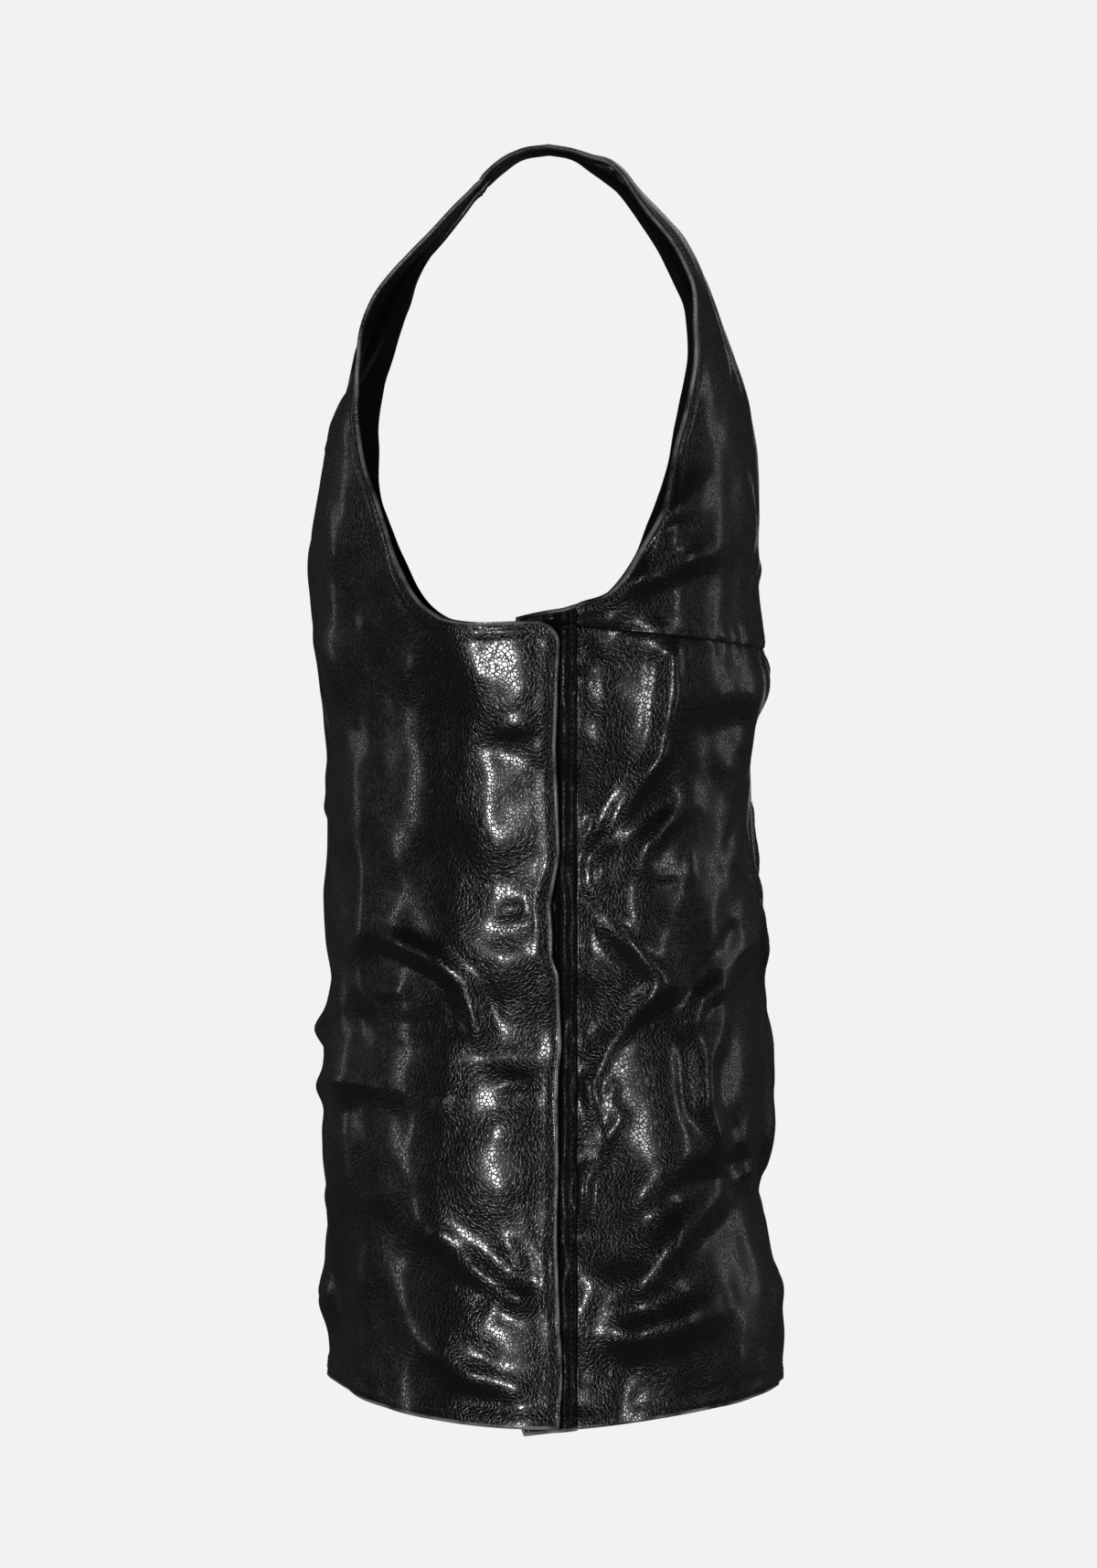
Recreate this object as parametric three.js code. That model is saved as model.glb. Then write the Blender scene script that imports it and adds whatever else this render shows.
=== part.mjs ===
// Leather vest in its worn, hollow form. Millimetres, +Z up.
// +X is the wearer's left, -Y the front. The origin lies midway between the shoulders, at the height where the
// straps rest. Every piece is a wall of leather through sections worked out from the tables below.
import * as THREE from 'three';

const wall = 2;                 // leather and its thin lining
const seamGap = 0.3;            // between pieces that are sewn edge to edge
const lapGap = 0.6;             // between the front and the button stand under it
const lap = wall + lapGap;      // how far the covered layer lies inside the outer one
const yokeStep = 0.9;           // how far the yoke stands proud of the back below it
const sideY = 5;                // the side line, where the vest is widest
const strapMiddle = 115;        // distance of a strap's middle from the centre
const strapHalf = 37;           // half the width of a strap
// How the wearer's right strap lies otherwise than the left: its top rises, its armhole edge lies back beside
// the chest, and below the shoulder its roll turns the other way. Each place is a range of heights or widths.
const farStrap = {
  rise: 4, riseAcross: [30, 80], riseHeights: [-60, -10],
  back: 7, backAcross: [90, 140], backHeights: { none: -75, from: -110, to: -150, gone: -185 },
  roll: -1, rollHeights: [-30, -85],
};
const frontOnly = [0, -90];     // the side view's range over which that backward lie sets in
const standInner = -17;         // the hidden edge of the button stand
const standSeam = 15;           // the seam that joins the stand to the back
const lapFlat = { front: [-26, -60], back: [24, 50] };   // the lapped zone carries no fold; y ranges
const recess = [standSeam + 1, 70];   // the back beside the stand rises over this range of y
const yokeStepHeights = [-285, -262];   // and the back below the yoke sinks over this range of z

// The side profile, from the top of the shoulder down the centre front and down the centre back.
// lean: how far the inward direction dips below level, in degrees. half: half width at the side line.
// square: how boxy the section is. wrap: 1 where the section bends right round to the side line.
// roll: how far the armhole edge of the strap stands out, and the neck edge in.
const frontProfile = [
  { y: 0, z: 1.5, lean: 90, half: 190, square: 3.0, wrap: 0, roll: 0 },
  { y: -15, z: -1.5, lean: 72, half: 190, square: 3.0, wrap: 0, roll: 0 },
  { y: -35.5, z: -20, lean: 50, half: 190, square: 3.0, wrap: 0, roll: 1.5 },
  { y: -60, z: -47, lean: 42, half: 190, square: 3.2, wrap: 0, roll: 4.5 },
  { y: -76.5, z: -66, lean: 34, half: 190, square: 3.4, wrap: 0, roll: 6.5 },
  { y: -90.5, z: -90, lean: 24, half: 190, square: 3.6, wrap: 0.05, roll: 6 },
  { y: -102, z: -113, lean: 14, half: 189, square: 3.6, wrap: 0.3, roll: 3.5 },
  { y: -110.5, z: -132, lean: 5, half: 189, square: 3.6, wrap: 0.8, roll: 1 },
  { y: -115.5, z: -151, lean: 0, half: 188, square: 3.4, wrap: 1, roll: 0 },
  { y: -120.5, z: -175, lean: 0, half: 188, square: 3.0, wrap: 1, roll: 0 },
  { y: -125, z: -209, lean: 0, half: 188, square: 2.7, wrap: 1, roll: 0 },
  { y: -123, z: -245, lean: 0, half: 188, square: 2.6, wrap: 1, roll: 0 },
  { y: -116, z: -290, lean: 0, half: 186, square: 2.6, wrap: 1, roll: 0 },
  { y: -115.5, z: -350, lean: 0, half: 183, square: 2.6, wrap: 1, roll: 0 },
  { y: -116, z: -440, lean: 0, half: 181, square: 2.6, wrap: 1, roll: 0 },
  { y: -119.5, z: -520, lean: 0, half: 184, square: 2.55, wrap: 1, roll: 0 },
  { y: -116.5, z: -580, lean: 0, half: 188, square: 2.5, wrap: 1, roll: 0 },
  { y: -116.5, z: -620, lean: 0, half: 190, square: 2.5, wrap: 1, roll: 0 },
  { y: -117, z: -690, lean: 0, half: 193, square: 2.5, wrap: 1, roll: 0 },
];
const backProfile = [
  { y: 0, z: 1.5, lean: 90, half: 190, square: 3.0, wrap: 0, roll: 0 },
  { y: 20, z: -2, lean: 76, half: 190, square: 2.6, wrap: 0.3, roll: 0 },
  { y: 44.5, z: -13.5, lean: 58, half: 190, square: 2.3, wrap: 0.42, roll: 0 },
  { y: 70, z: -40, lean: 42, half: 190, square: 2.2, wrap: 0.36, roll: 0 },
  { y: 83, z: -66, lean: 28, half: 190, square: 2.1, wrap: 0.34, roll: 0 },
  { y: 91, z: -88, lean: 18, half: 190, square: 2.1, wrap: 0.5, roll: 0 },
  { y: 102, z: -120, lean: 6, half: 189, square: 2.1, wrap: 0.85, roll: 0 },
  { y: 108, z: -146, lean: 0, half: 188, square: 2.1, wrap: 1, roll: 0 },
  { y: 112, z: -188, lean: 0, half: 188, square: 2.2, wrap: 1, roll: 0 },
  { y: 110, z: -232, lean: 0, half: 188, square: 2.3, wrap: 1, roll: 0 },
  { y: 114, z: -262, lean: 0, half: 187, square: 2.3, wrap: 1, roll: 0 },
  { y: 117, z: -283, lean: 0, half: 186, square: 2.3, wrap: 1, roll: 0 },
  { y: 111, z: -305, lean: 0, half: 185, square: 2.3, wrap: 1, roll: 0 },
  { y: 107, z: -333, lean: 0, half: 184, square: 2.3, wrap: 1, roll: 0 },
  { y: 110.5, z: -375, lean: 0, half: 182, square: 2.3, wrap: 1, roll: 0 },
  { y: 110, z: -443, lean: 0, half: 181, square: 2.3, wrap: 1, roll: 0 },
  { y: 115, z: -485, lean: 0, half: 183, square: 2.3, wrap: 1, roll: 0 },
  { y: 115, z: -520, lean: 0, half: 184, square: 2.3, wrap: 1, roll: 0 },
  { y: 110, z: -538, lean: 0, half: 185, square: 2.3, wrap: 1, roll: 0 },
  { y: 119, z: -580, lean: 0, half: 188, square: 2.3, wrap: 1, roll: 0 },
  { y: 124.5, z: -620, lean: 0, half: 190, square: 2.4, wrap: 1, roll: 0 },
  { y: 123, z: -690, lean: 0, half: 193, square: 2.4, wrap: 1, roll: 0 },
];

// The largest folds, in the side view: points along the crest, half width and height. A negative height is a
// trough. The wearer's right side carries the same kind of folds, shifted by farShift and farScale.
const sideFolds = [
  { along: [[-115, -262], [-112, -290], [-108, -340], [-104, -390], [-102, -436], [-96, -462], [-100, -500],
            [-91, -543]], width: 13, height: 3.5 },
  { along: [[-87, -407], [-58, -421], [-43, -435], [-34, -465]], width: 13, height: 5 },
  { along: [[-104, -457], [-80, -460], [-52, -456]], width: 10, height: -3 },
  { along: [[-118, -484], [-84, -486], [-52, -495]], width: 11, height: 3.5 },
  { along: [[-62, -558], [-34, -585], [-16, -595]], width: 13, height: 4.5 },
  { along: [[-64, -617], [-43, -634], [-10, -645]], width: 12, height: 3 },
  { along: [[41, -230], [62, -218], [82, -208]], width: 12, height: 3.5 },
  { along: [[57, -196], [82, -171]], width: 12, height: 3 },
  { along: [[57, -256], [63, -284], [59, -303], [47, -330], [37, -345], [24, -369], [25, -382], [35, -402],
            [56, -433]], width: 11, height: 5 },
  { along: [[56, -433], [38, -456], [24, -478], [28, -512], [20, -540]], width: 11, height: 4 },
  { along: [[71, -341], [50, -362], [46, -372]], width: 10, height: 3.5 },
  { along: [[108, -406], [92, -428], [79, -443], [76, -453]], width: 11, height: 4.5 },
  { along: [[77, -455], [79, -472], [80, -497], [89, -520]], width: 11, height: 3.5 },
  { along: [[73, -524], [37, -550]], width: 13, height: 4.5 },
  { along: [[93, -538], [63, -564], [51, -583], [35, -593]], width: 13, height: 4.5 },
  { along: [[89, -600], [43, -616], [22, -613]], width: 13, height: 4.5 },
];
const farShift = 17;
const farScale = 0.85;
const foldFade = { none: 25, full: 70 };      // distance from the centre over which the side folds fade in
const foldTop = { none: -150, full: -190 };   // the straps and the upper chest carry no fold
// Folds across the front and the back near the centre, in the view from the front.
const frontFolds = [
  { along: [[-60, -470], [0, -462], [62, -466]], width: 12, height: 4 },
  { along: [[-52, -497], [8, -490], [60, -494]], width: 9, height: 3 },
  { along: [[-70, -610], [-10, -603], [66, -612]], width: 14, height: 3.5 },
  { along: [[28, -250], [14, -330], [20, -420]], width: 16, height: 2.5 },
];
const backFolds = [
  { along: [[-75, -300], [0, -310], [80, -298]], width: 16, height: -3 },
  { along: [[-70, -350], [-20, -430], [-36, -500]], width: 15, height: 4 },
  { along: [[30, -390], [14, -470], [52, -560]], width: 15, height: 4 },
  { along: [[-64, -545], [0, -535], [72, -548]], width: 11, height: -3 },
];

const radians = (degrees) => degrees * Math.PI / 180;
const mix = (a, b, t) => a + (b - a) * t;
const smooth = (from, to, value) => {
  const t = Math.min(1, Math.max(0, (value - from) / (to - from)));
  return t * t * (3 - 2 * t);
};

// The distance along each profile from the top of the shoulder.
function measureRuns(profile) {
  let run = 0;
  profile.forEach((row, i) => {
    if (i > 0) {
      run += Math.hypot(row.y - profile[i - 1].y, row.z - profile[i - 1].z);
    }
    row.run = run;
  });
}
measureRuns(frontProfile);
measureRuns(backProfile);

// A smooth curve through the values a row table gives, at any place t on the key column.
function throughRows(rows, key, t) {
  let i = 0;
  while (i < rows.length - 2 && t > rows[i + 1][key]) {
    i += 1;
  }
  const [a, b] = [rows[i], rows[i + 1]];
  const span = b[key] - a[key];
  const u = Math.min(1, Math.max(0, (t - a[key]) / span));
  const value = {};
  for (const name of Object.keys(a)) {
    const before = rows[i - 1] ?? a;
    const after = rows[i + 2] ?? b;
    const slopeA = (b[name] - before[name]) / (b[key] - before[key]) * span;
    const slopeB = (after[name] - a[name]) / (after[key] - a[key]) * span;
    value[name] = a[name] * (1 + u * u * (2 * u - 3)) + b[name] * u * u * (3 - 2 * u)
      + slopeA * u * (1 - u) * (1 - u) - slopeB * u * u * (1 - u);
  }
  return value;
}

// The run at a height: negative down the front, positive down the back.
function runAt(side, z) {
  const profile = side < 0 ? frontProfile : backProfile;
  let low = 0;
  let high = profile[profile.length - 1].run;
  for (let i = 0; i < 40; i += 1) {
    const middle = (low + high) / 2;
    if (throughRows(profile, 'run', middle).z > z) {
      low = middle;
    } else {
      high = middle;
    }
  }
  return side * low;
}

// A point of the bare form. angle goes from 0 at the centre to 90 at the side line, and past it round the
// other side of the body. A negative angle is on the wearer's right.
function form(run, angle) {
  const side = run < 0 ? -1 : 1;
  const turn = Math.abs(angle);
  const row = throughRows(side < 0 ? frontProfile : backProfile, 'run', Math.abs(run));
  if (turn > 90) {
    return form(runAt(-side, row.z), Math.sign(angle) * (180 - turn));
  }
  const power = 2 / row.square;
  const x = row.half * Math.sin(radians(turn)) ** power;
  const rollShare = angle < 0 ? mix(1, farStrap.roll, smooth(...farStrap.rollHeights, row.z)) : 1;
  const bend = row.wrap * Math.abs(row.y - sideY) * (1 - Math.max(0, Math.cos(radians(turn))) ** power)
    - row.roll * rollShare * Math.max(-1.5, (x - strapMiddle) / strapHalf);
  const lean = radians(row.lean);
  const point = new THREE.Vector3(Math.sign(angle) * x, row.y - side * bend * Math.cos(lean),
    row.z - bend * Math.sin(lean));
  if (angle < 0) {
    const { none, from, to, gone } = farStrap.backHeights;
    point.z += farStrap.rise * smooth(...farStrap.riseAcross, x) * smooth(...farStrap.riseHeights, row.z);
    point.y += farStrap.back * smooth(...farStrap.backAcross, x) * smooth(...frontOnly, row.y)
      * smooth(gone, to, row.z) * smooth(none, from, row.z);
  }
  return point;
}

// The angle at which the form is x from the centre, or reaches y in the side view.
function angleFor(run, reached) {
  let low = 0;
  let high = 178;
  for (let i = 0; i < 40; i += 1) {
    const middle = (low + high) / 2;
    if (reached(form(run, middle))) {
      high = middle;
    } else {
      low = middle;
    }
  }
  return low;
}
const atX = (side, x, z) => atRun(runAt(side, z), x);
const atRun = (run, x) => ({ run, angle: x === 0 ? 0 : angleFor(run, (p) => p.x >= x) });
const atY = (side, y, z) => {
  const run = runAt(side, z);
  return { run, angle: angleFor(run, (p) => (side < 0 ? p.y >= y : p.y <= y)) };
};

function outwardAt(run, angle) {
  const step = 0.4;
  const turn = Math.abs(angle) < 0.5 ? 0.5 * (Math.sign(angle) || 1) : angle;
  const up = form(run + step, angle).sub(form(run - step, angle));
  const round = form(run, turn + step).sub(form(run, turn - step));
  return round.cross(up).normalize();
}

// How far one fold lifts the surface at a point of its view.
function foldLift(fold, across, z) {
  let nearest = Infinity;
  for (let i = 0; i < fold.along.length - 1; i += 1) {
    const [ax, az] = fold.along[i];
    const [bx, bz] = fold.along[i + 1];
    const length = (bx - ax) ** 2 + (bz - az) ** 2;
    const t = Math.min(1, Math.max(0, ((across - ax) * (bx - ax) + (z - az) * (bz - az)) / length));
    nearest = Math.min(nearest, Math.hypot(across - mix(ax, bx, t), z - mix(az, bz, t)));
  }
  return fold.height * Math.exp(-((nearest / fold.width) ** 2));
}

function lift(p) {
  const far = p.x < 0;
  const sideShare = smooth(foldFade.none, foldFade.full, Math.abs(p.x));
  const z = far ? p.z + farShift : p.z;
  let height = 0;
  for (const fold of sideFolds) {
    height += foldLift(fold, p.y, z) * sideShare * (far ? farScale : 1);
  }
  for (const fold of p.y < sideY ? frontFolds : backFolds) {
    height += foldLift(fold, p.x, p.z) * (1 - sideShare);
  }
  const lapped = smooth(...(p.y < 0 ? lapFlat.front : lapFlat.back), p.y);
  return height * lapped * smooth(foldTop.none, foldTop.full, p.z);
}

// Lines across one half of a piece, with more lines between them, each cut into even lengths. slope says how
// the height of a line goes from its inner to its outer end.
function halfGrid(lines, columns, slope) {
  const ends = [];
  lines.forEach((line, i) => ends.push({ key: i, inRun: line.from.run, inAngle: line.from.angle,
    outRun: line.to.run, outAngle: line.to.angle }));
  const grid = [];
  lines.forEach((line, i) => {
    const steps = i < lines.length - 1 ? line.steps ?? 1 : 1;
    for (let s = 0; s < steps; s += 1) {
      const end = throughRows(ends, 'key', i + s / steps);
      grid.push(evenRow(end, columns, slope));
    }
  });
  return grid;
}
function evenRow(end, columns, slope) {
  const fine = 48;
  const at = (u) => [
    mix(end.inRun, end.outRun, slope(u)),
    Math.max(0, mix(end.inAngle, end.outAngle, u)),
  ];
  const lengths = [0];
  let last = form(...at(0));
  for (let i = 1; i <= fine; i += 1) {
    const next = form(...at(i / fine));
    lengths.push(lengths[i - 1] + next.distanceTo(last));
    last = next;
  }
  const row = [];
  for (let c = 0; c <= columns; c += 1) {
    const goal = lengths[fine] * c / columns;
    let i = 0;
    while (i < fine - 1 && lengths[i + 1] < goal) {
      i += 1;
    }
    row.push(at((i + (goal - lengths[i]) / (lengths[i + 1] - lengths[i])) / fine));
  }
  return row;
}

// A closed wall from one or more grids of places on the form. Points that coincide are shared.
function wallFrom(grids, insetAt) {
  const outer = [];
  const inner = [];
  const known = new Map();
  const faces = [];
  const pointAt = (run, angle) => {
    const base = form(run, angle);
    const key = [base.x, base.y, base.z].map((v) => v.toFixed(3)).join();
    if (!known.has(key)) {
      known.set(key, outer.length);
      const outward = outwardAt(run, angle);
      const height = lift(base) - insetAt(base);
      outer.push(base.clone().addScaledVector(outward, height));
      inner.push(base.clone().addScaledVector(outward, height - wall));
    }
    return known.get(key);
  };
  const addFace = (a, b, c) => {
    if (a !== b && b !== c && c !== a) {
      faces.push([a, b, c]);
    }
  };
  for (const { grid, mirrored } of grids) {
    const turn = mirrored ? -1 : 1;
    const index = grid.map((row) => row.map(([run, angle]) => pointAt(run, turn * angle)));
    for (let r = 0; r < index.length - 1; r += 1) {
      for (let c = 0; c < index[r].length - 1; c += 1) {
        const [a, b, d, e] = [index[r][c], index[r][c + 1], index[r + 1][c], index[r + 1][c + 1]];
        if (mirrored) {
          addFace(a, e, b);
          addFace(a, d, e);
        } else {
          addFace(a, b, e);
          addFace(a, e, d);
        }
      }
    }
  }
  return closedGeometry(outer, inner, faces);
}

// Outer faces, inner faces turned round, and a rim along every edge that only one face has.
function closedGeometry(outer, inner, faces) {
  const points = [...outer, ...inner];
  const count = outer.length;
  const triangles = [];
  const edges = new Set(faces.flatMap(([a, b, c]) => [`${a} ${b}`, `${b} ${c}`, `${c} ${a}`]));
  for (const [a, b, c] of faces) {
    triangles.push([a, b, c], [a + count, c + count, b + count]);
    for (const [from, to] of [[a, b], [b, c], [c, a]]) {
      if (!edges.has(`${to} ${from}`)) {
        triangles.push([from, from + count, to + count], [from, to + count, to]);
      }
    }
  }
  const geometry = new THREE.BufferGeometry();
  geometry.setAttribute('position', new THREE.Float32BufferAttribute(points.flatMap((p) => p.toArray()), 3));
  geometry.setIndex(triangles.flat());
  if (signedVolume(points, triangles) < 0) {
    geometry.setIndex(triangles.map(([a, b, c]) => [a, c, b]).flat());
  }
  geometry.computeVertexNormals();
  return geometry;
}
function signedVolume(points, triangles) {
  const corner = new THREE.Vector3();
  return triangles.reduce((sum, [a, b, c]) => (
    sum + corner.copy(points[a]).cross(points[b]).dot(points[c]) / 6), 0);
}

// Cut lines of each piece, from the hem up. from lies on the centre or the neck edge, to on the side, the
// armhole or a seam. steps is the number of grid rows up to the next line.
const frontLines = (edgeY) => [
  { from: atX(-1, 0, -643.5), to: atY(-1, edgeY, -662), steps: 6 },
  { from: atX(-1, 0, -545), to: atY(-1, edgeY, -555), steps: 6 },
  { from: atX(-1, 0, -445), to: atY(-1, edgeY, -445), steps: 5 },
  { from: atX(-1, 0, -362), to: atY(-1, edgeY, -346), steps: 4 },
  { from: atX(-1, 0, -302), to: atY(-1, edgeY, -275) },
  { from: atX(-1, 0, -286), to: atY(-1, edgeY - 0.6, -254) },
  { from: atX(-1, 0, -272), to: atY(-1, -4, -247.5) },
  { from: atX(-1, 0, -258), to: atY(-1, -18, -247.5) },
  { from: atX(-1, 0, -245), to: atY(-1, -33, -248) },
  { from: atX(-1, 0, -231), to: atY(-1, -46, -247) },
  { from: atX(-1, 0, -217), to: atY(-1, -57, -244) },
  { from: atX(-1, 0, -203), to: atY(-1, -66, -237) },
  { from: atX(-1, 0, -190), to: atY(-1, -72.5, -228) },
  { from: atX(-1, 0, -177), to: atY(-1, -80, -213) },
  { from: atX(-1, 0, -166), to: atY(-1, -87.5, -195) },
  { from: atX(-1, 0, -158), to: atY(-1, -93.5, -178) },
  { from: atX(-1, 0, -152), to: atY(-1, -98.5, -162), steps: 2 },
  { from: atX(-1, 30, -148.5), to: atX(-1, 140.5, -150), steps: 2 },
  { from: atX(-1, 52, -137), to: atX(-1, 139.5, -136) },
  { from: atX(-1, 64, -121), to: atX(-1, 140.5, -121) },
  { from: atX(-1, 71, -101), to: atX(-1, 143, -102) },
  { from: atX(-1, 76, -77), to: atX(-1, 147, -78) },
  { from: atX(-1, 79, -53), to: atX(-1, 151, -54) },
  { from: atX(-1, 80.5, -34), to: atX(-1, 154, -34) },
  { from: atX(-1, 81, -20), to: atX(-1, 155, -20) },
];
const shoulderSeam = runAt(-1, -20) + seamGap;
const yokeLines = (edgeY) => [
  { from: atRun(shoulderSeam, 81), to: atRun(shoulderSeam, 155), steps: 2 },
  { from: atRun(-0.5, 80), to: atRun(-0.5, 156) },
  { from: atRun(13, 79), to: atRun(15, 156) },
  { from: atRun(27, 72), to: atRun(32, 155.5) },
  { from: atRun(38, 58), to: atRun(50, 154) },
  { from: atRun(44, 36), to: atRun(66, 152) },
  { from: atRun(47, 0), to: atRun(83, 150) },
  { from: atX(1, 0, -36), to: atX(1, 147.5, -84) },
  { from: atX(1, 0, -58), to: atX(1, 146, -103) },
  { from: atX(1, 0, -82), to: atX(1, 146.5, -123) },
  { from: atX(1, 0, -106), to: atX(1, 149.5, -143) },
  { from: atX(1, 0, -128), to: atY(1, 66, -163) },
  { from: atX(1, 0, -150), to: atY(1, 60, -183) },
  { from: atX(1, 0, -170), to: atY(1, 52.5, -201) },
  { from: atX(1, 0, -190), to: atY(1, 43, -219) },
  { from: atX(1, 0, -208), to: atY(1, 32, -232) },
  { from: atX(1, 0, -228), to: atY(1, edgeY, -238.5) },
  { from: atX(1, 0, -244), to: atY(1, edgeY, -244) },
  { from: atX(1, 0, -261), to: atY(1, edgeY, -249.5) },
];
const backLines = (edgeY) => [
  { from: atX(1, 0, -261 - seamGap), to: atY(1, edgeY, -249.5 - seamGap), steps: 6 },
  { from: atX(1, 0, -350), to: atY(1, edgeY, -345), steps: 6 },
  { from: atX(1, 0, -450), to: atY(1, edgeY, -450), steps: 6 },
  { from: atX(1, 0, -550), to: atY(1, edgeY, -555), steps: 6 },
  { from: atX(1, 0, -646), to: atY(1, edgeY, -662) },
];
const standLines = [
  { from: atY(-1, standInner, -245.5), to: atY(-1, standSeam - seamGap, -238.5) },
  { from: atY(-1, standInner, -264), to: atY(-1, standSeam - seamGap, -258), steps: 22 },
  { from: atY(-1, standInner, -652), to: atY(-1, standSeam - seamGap, -651) },
  { from: atY(-1, standInner + 4, -663), to: atY(-1, standSeam - seamGap, -664) },
];

const frontColumns = 16;
const backColumns = 15;
const standColumns = 3;

const flush = () => 0;
const underFront = () => lap;
const besideStand = (p) => (p.x > 0 ? lap * (1 - smooth(...recess, p.y)) : 0);
const belowYoke = (p) => besideStand(p) + yokeStep * smooth(...yokeStepHeights, p.z);

const leather = { color: 0x17150f, roughness: 0.32, metalness: 0 };
const frontSlope = (u) => smooth(0, 1, u);
const backSlope = (u) => u ** 1.4;
const straight = (u) => u;
const bothHalves = (linesFor, columns, slope, leftEdge, rightEdge) => [
  { grid: halfGrid(linesFor(leftEdge), columns, slope) },
  { grid: halfGrid(linesFor(rightEdge), columns, slope), mirrored: true },
];
const pieces = {
  front_panel: wallFrom(bothHalves(frontLines, frontColumns, frontSlope, sideY, sideY - seamGap / 2), flush),
  back_yoke: wallFrom(bothHalves(yokeLines, backColumns, backSlope, standSeam, sideY + seamGap / 2), besideStand),
  back_panel: wallFrom(bothHalves(backLines, backColumns, backSlope, standSeam, sideY + seamGap / 2), belowYoke),
  button_stand: wallFrom([{ grid: halfGrid(standLines, standColumns, straight) }], underFront),
};

const vest = new THREE.Group();
for (const [name, geometry] of Object.entries(pieces)) {
  const piece = new THREE.Mesh(geometry, new THREE.MeshStandardMaterial(leather));
  piece.name = name;
  vest.add(piece);
}
export default vest;
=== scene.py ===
import math

import bpy
import numpy as np
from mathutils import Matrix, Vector
from mathutils.bvhtree import BVHTree
from mathutils.kdtree import KDTree


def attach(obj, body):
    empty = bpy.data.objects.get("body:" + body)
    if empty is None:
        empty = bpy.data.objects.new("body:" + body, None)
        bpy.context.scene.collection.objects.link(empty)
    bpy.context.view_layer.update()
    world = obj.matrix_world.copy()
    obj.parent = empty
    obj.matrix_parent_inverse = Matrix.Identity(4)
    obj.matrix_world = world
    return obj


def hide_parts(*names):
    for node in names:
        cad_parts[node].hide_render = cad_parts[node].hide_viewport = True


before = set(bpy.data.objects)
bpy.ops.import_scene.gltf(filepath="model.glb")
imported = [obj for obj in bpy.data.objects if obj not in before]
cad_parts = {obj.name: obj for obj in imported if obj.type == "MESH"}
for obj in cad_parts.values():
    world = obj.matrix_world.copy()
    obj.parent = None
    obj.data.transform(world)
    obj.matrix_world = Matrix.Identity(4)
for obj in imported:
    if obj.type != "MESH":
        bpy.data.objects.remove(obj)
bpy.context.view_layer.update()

# The vest is worked out in millimetres, in the frame of its solids, and becomes metres when a mesh is made.
# +X is the wearer's left, -Y the front, +Z up.
metre = 0.001
print('frame loaded')


# The form has the profiles of the solids.
body = {
    'sideY': 5.0,  # the side line
    'strapMiddle': 115.0, 'strapHalf': 37.0, 'rollLimit': -1.5,
    'wall': 2.0, 'seamGap': 0.3,
    'lap': 2.6,  # how far a covered layer lies inside the outer one
    'yokeStep': 0.9, 'yokeStepHeights': (-285, -262),
    'standInner': -17.0, 'standSeam': 15.0, 'yokeSeamAt': -249.6,
    'recess': (16, 70), 'recessTop': (-120, -190),  # where the yoke and back come out again beside the stand
    'shoulderDip': 0.3, 'shoulderDipHeights': (-75, -25),
    'standDrop': 3.0, 'standDropOver': (8, 3),  # the stand sinks away under the front
    'lapFlatFront': (-26, -60), 'lapFlatBack': (24, 50),
    'foldFade': (25, 70), 'creaseFade': (52, 95), 'foldTop': (-150, -190),
    'farShift': 17.0, 'farScale': 0.85,  # the folds of the right side, like the left one's
    'mainShare': 0.65,  # how much of the largest folds is left beside the creases on them
}
profileSteps = 3200
farStrap = {  # how the right strap lies otherwise than the left
    'rise': 4, 'riseAcross': (30, 80), 'riseHeights': (-60, -10),
    'back': 7, 'backAcross': (90, 140), 'backBelow': (-185, -150), 'backAbove': (-75, -110),
    'roll': -1, 'rollHeights': (-30, -85), 'frontOnly': (0, -90),
}

# y, z, lean, half, square, wrap, roll
frontProfile = np.array([
    (0, 1.5, 90, 190, 3.0, 0, 0), (-15, -1.5, 72, 190, 3.0, 0, 0), (-35.5, -20, 50, 190, 3.0, 0, 1.5),
    (-60, -47, 42, 190, 3.2, 0, 4.5), (-76.5, -66, 34, 190, 3.4, 0, 6.5), (-90.5, -90, 24, 190, 3.6, 0.05, 6),
    (-102, -113, 14, 189, 3.6, 0.3, 3.5), (-110.5, -132, 5, 189, 3.6, 0.8, 1),
    (-115.5, -151, 0, 188, 3.4, 1, 0),
    (-120.5, -175, 0, 188, 3.0, 1, 0), (-125, -209, 0, 188, 2.7, 1, 0), (-123, -245, 0, 188, 2.6, 1, 0),
    (-116, -290, 0, 186, 2.6, 1, 0), (-115.5, -350, 0, 183, 2.6, 1, 0), (-116, -440, 0, 181, 2.6, 1, 0),
    (-119.5, -520, 0, 184, 2.55, 1, 0), (-116.5, -580, 0, 188, 2.5, 1, 0), (-116.5, -620, 0, 190, 2.5, 1, 0),
    (-117, -690, 0, 193, 2.5, 1, 0),
])
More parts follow.
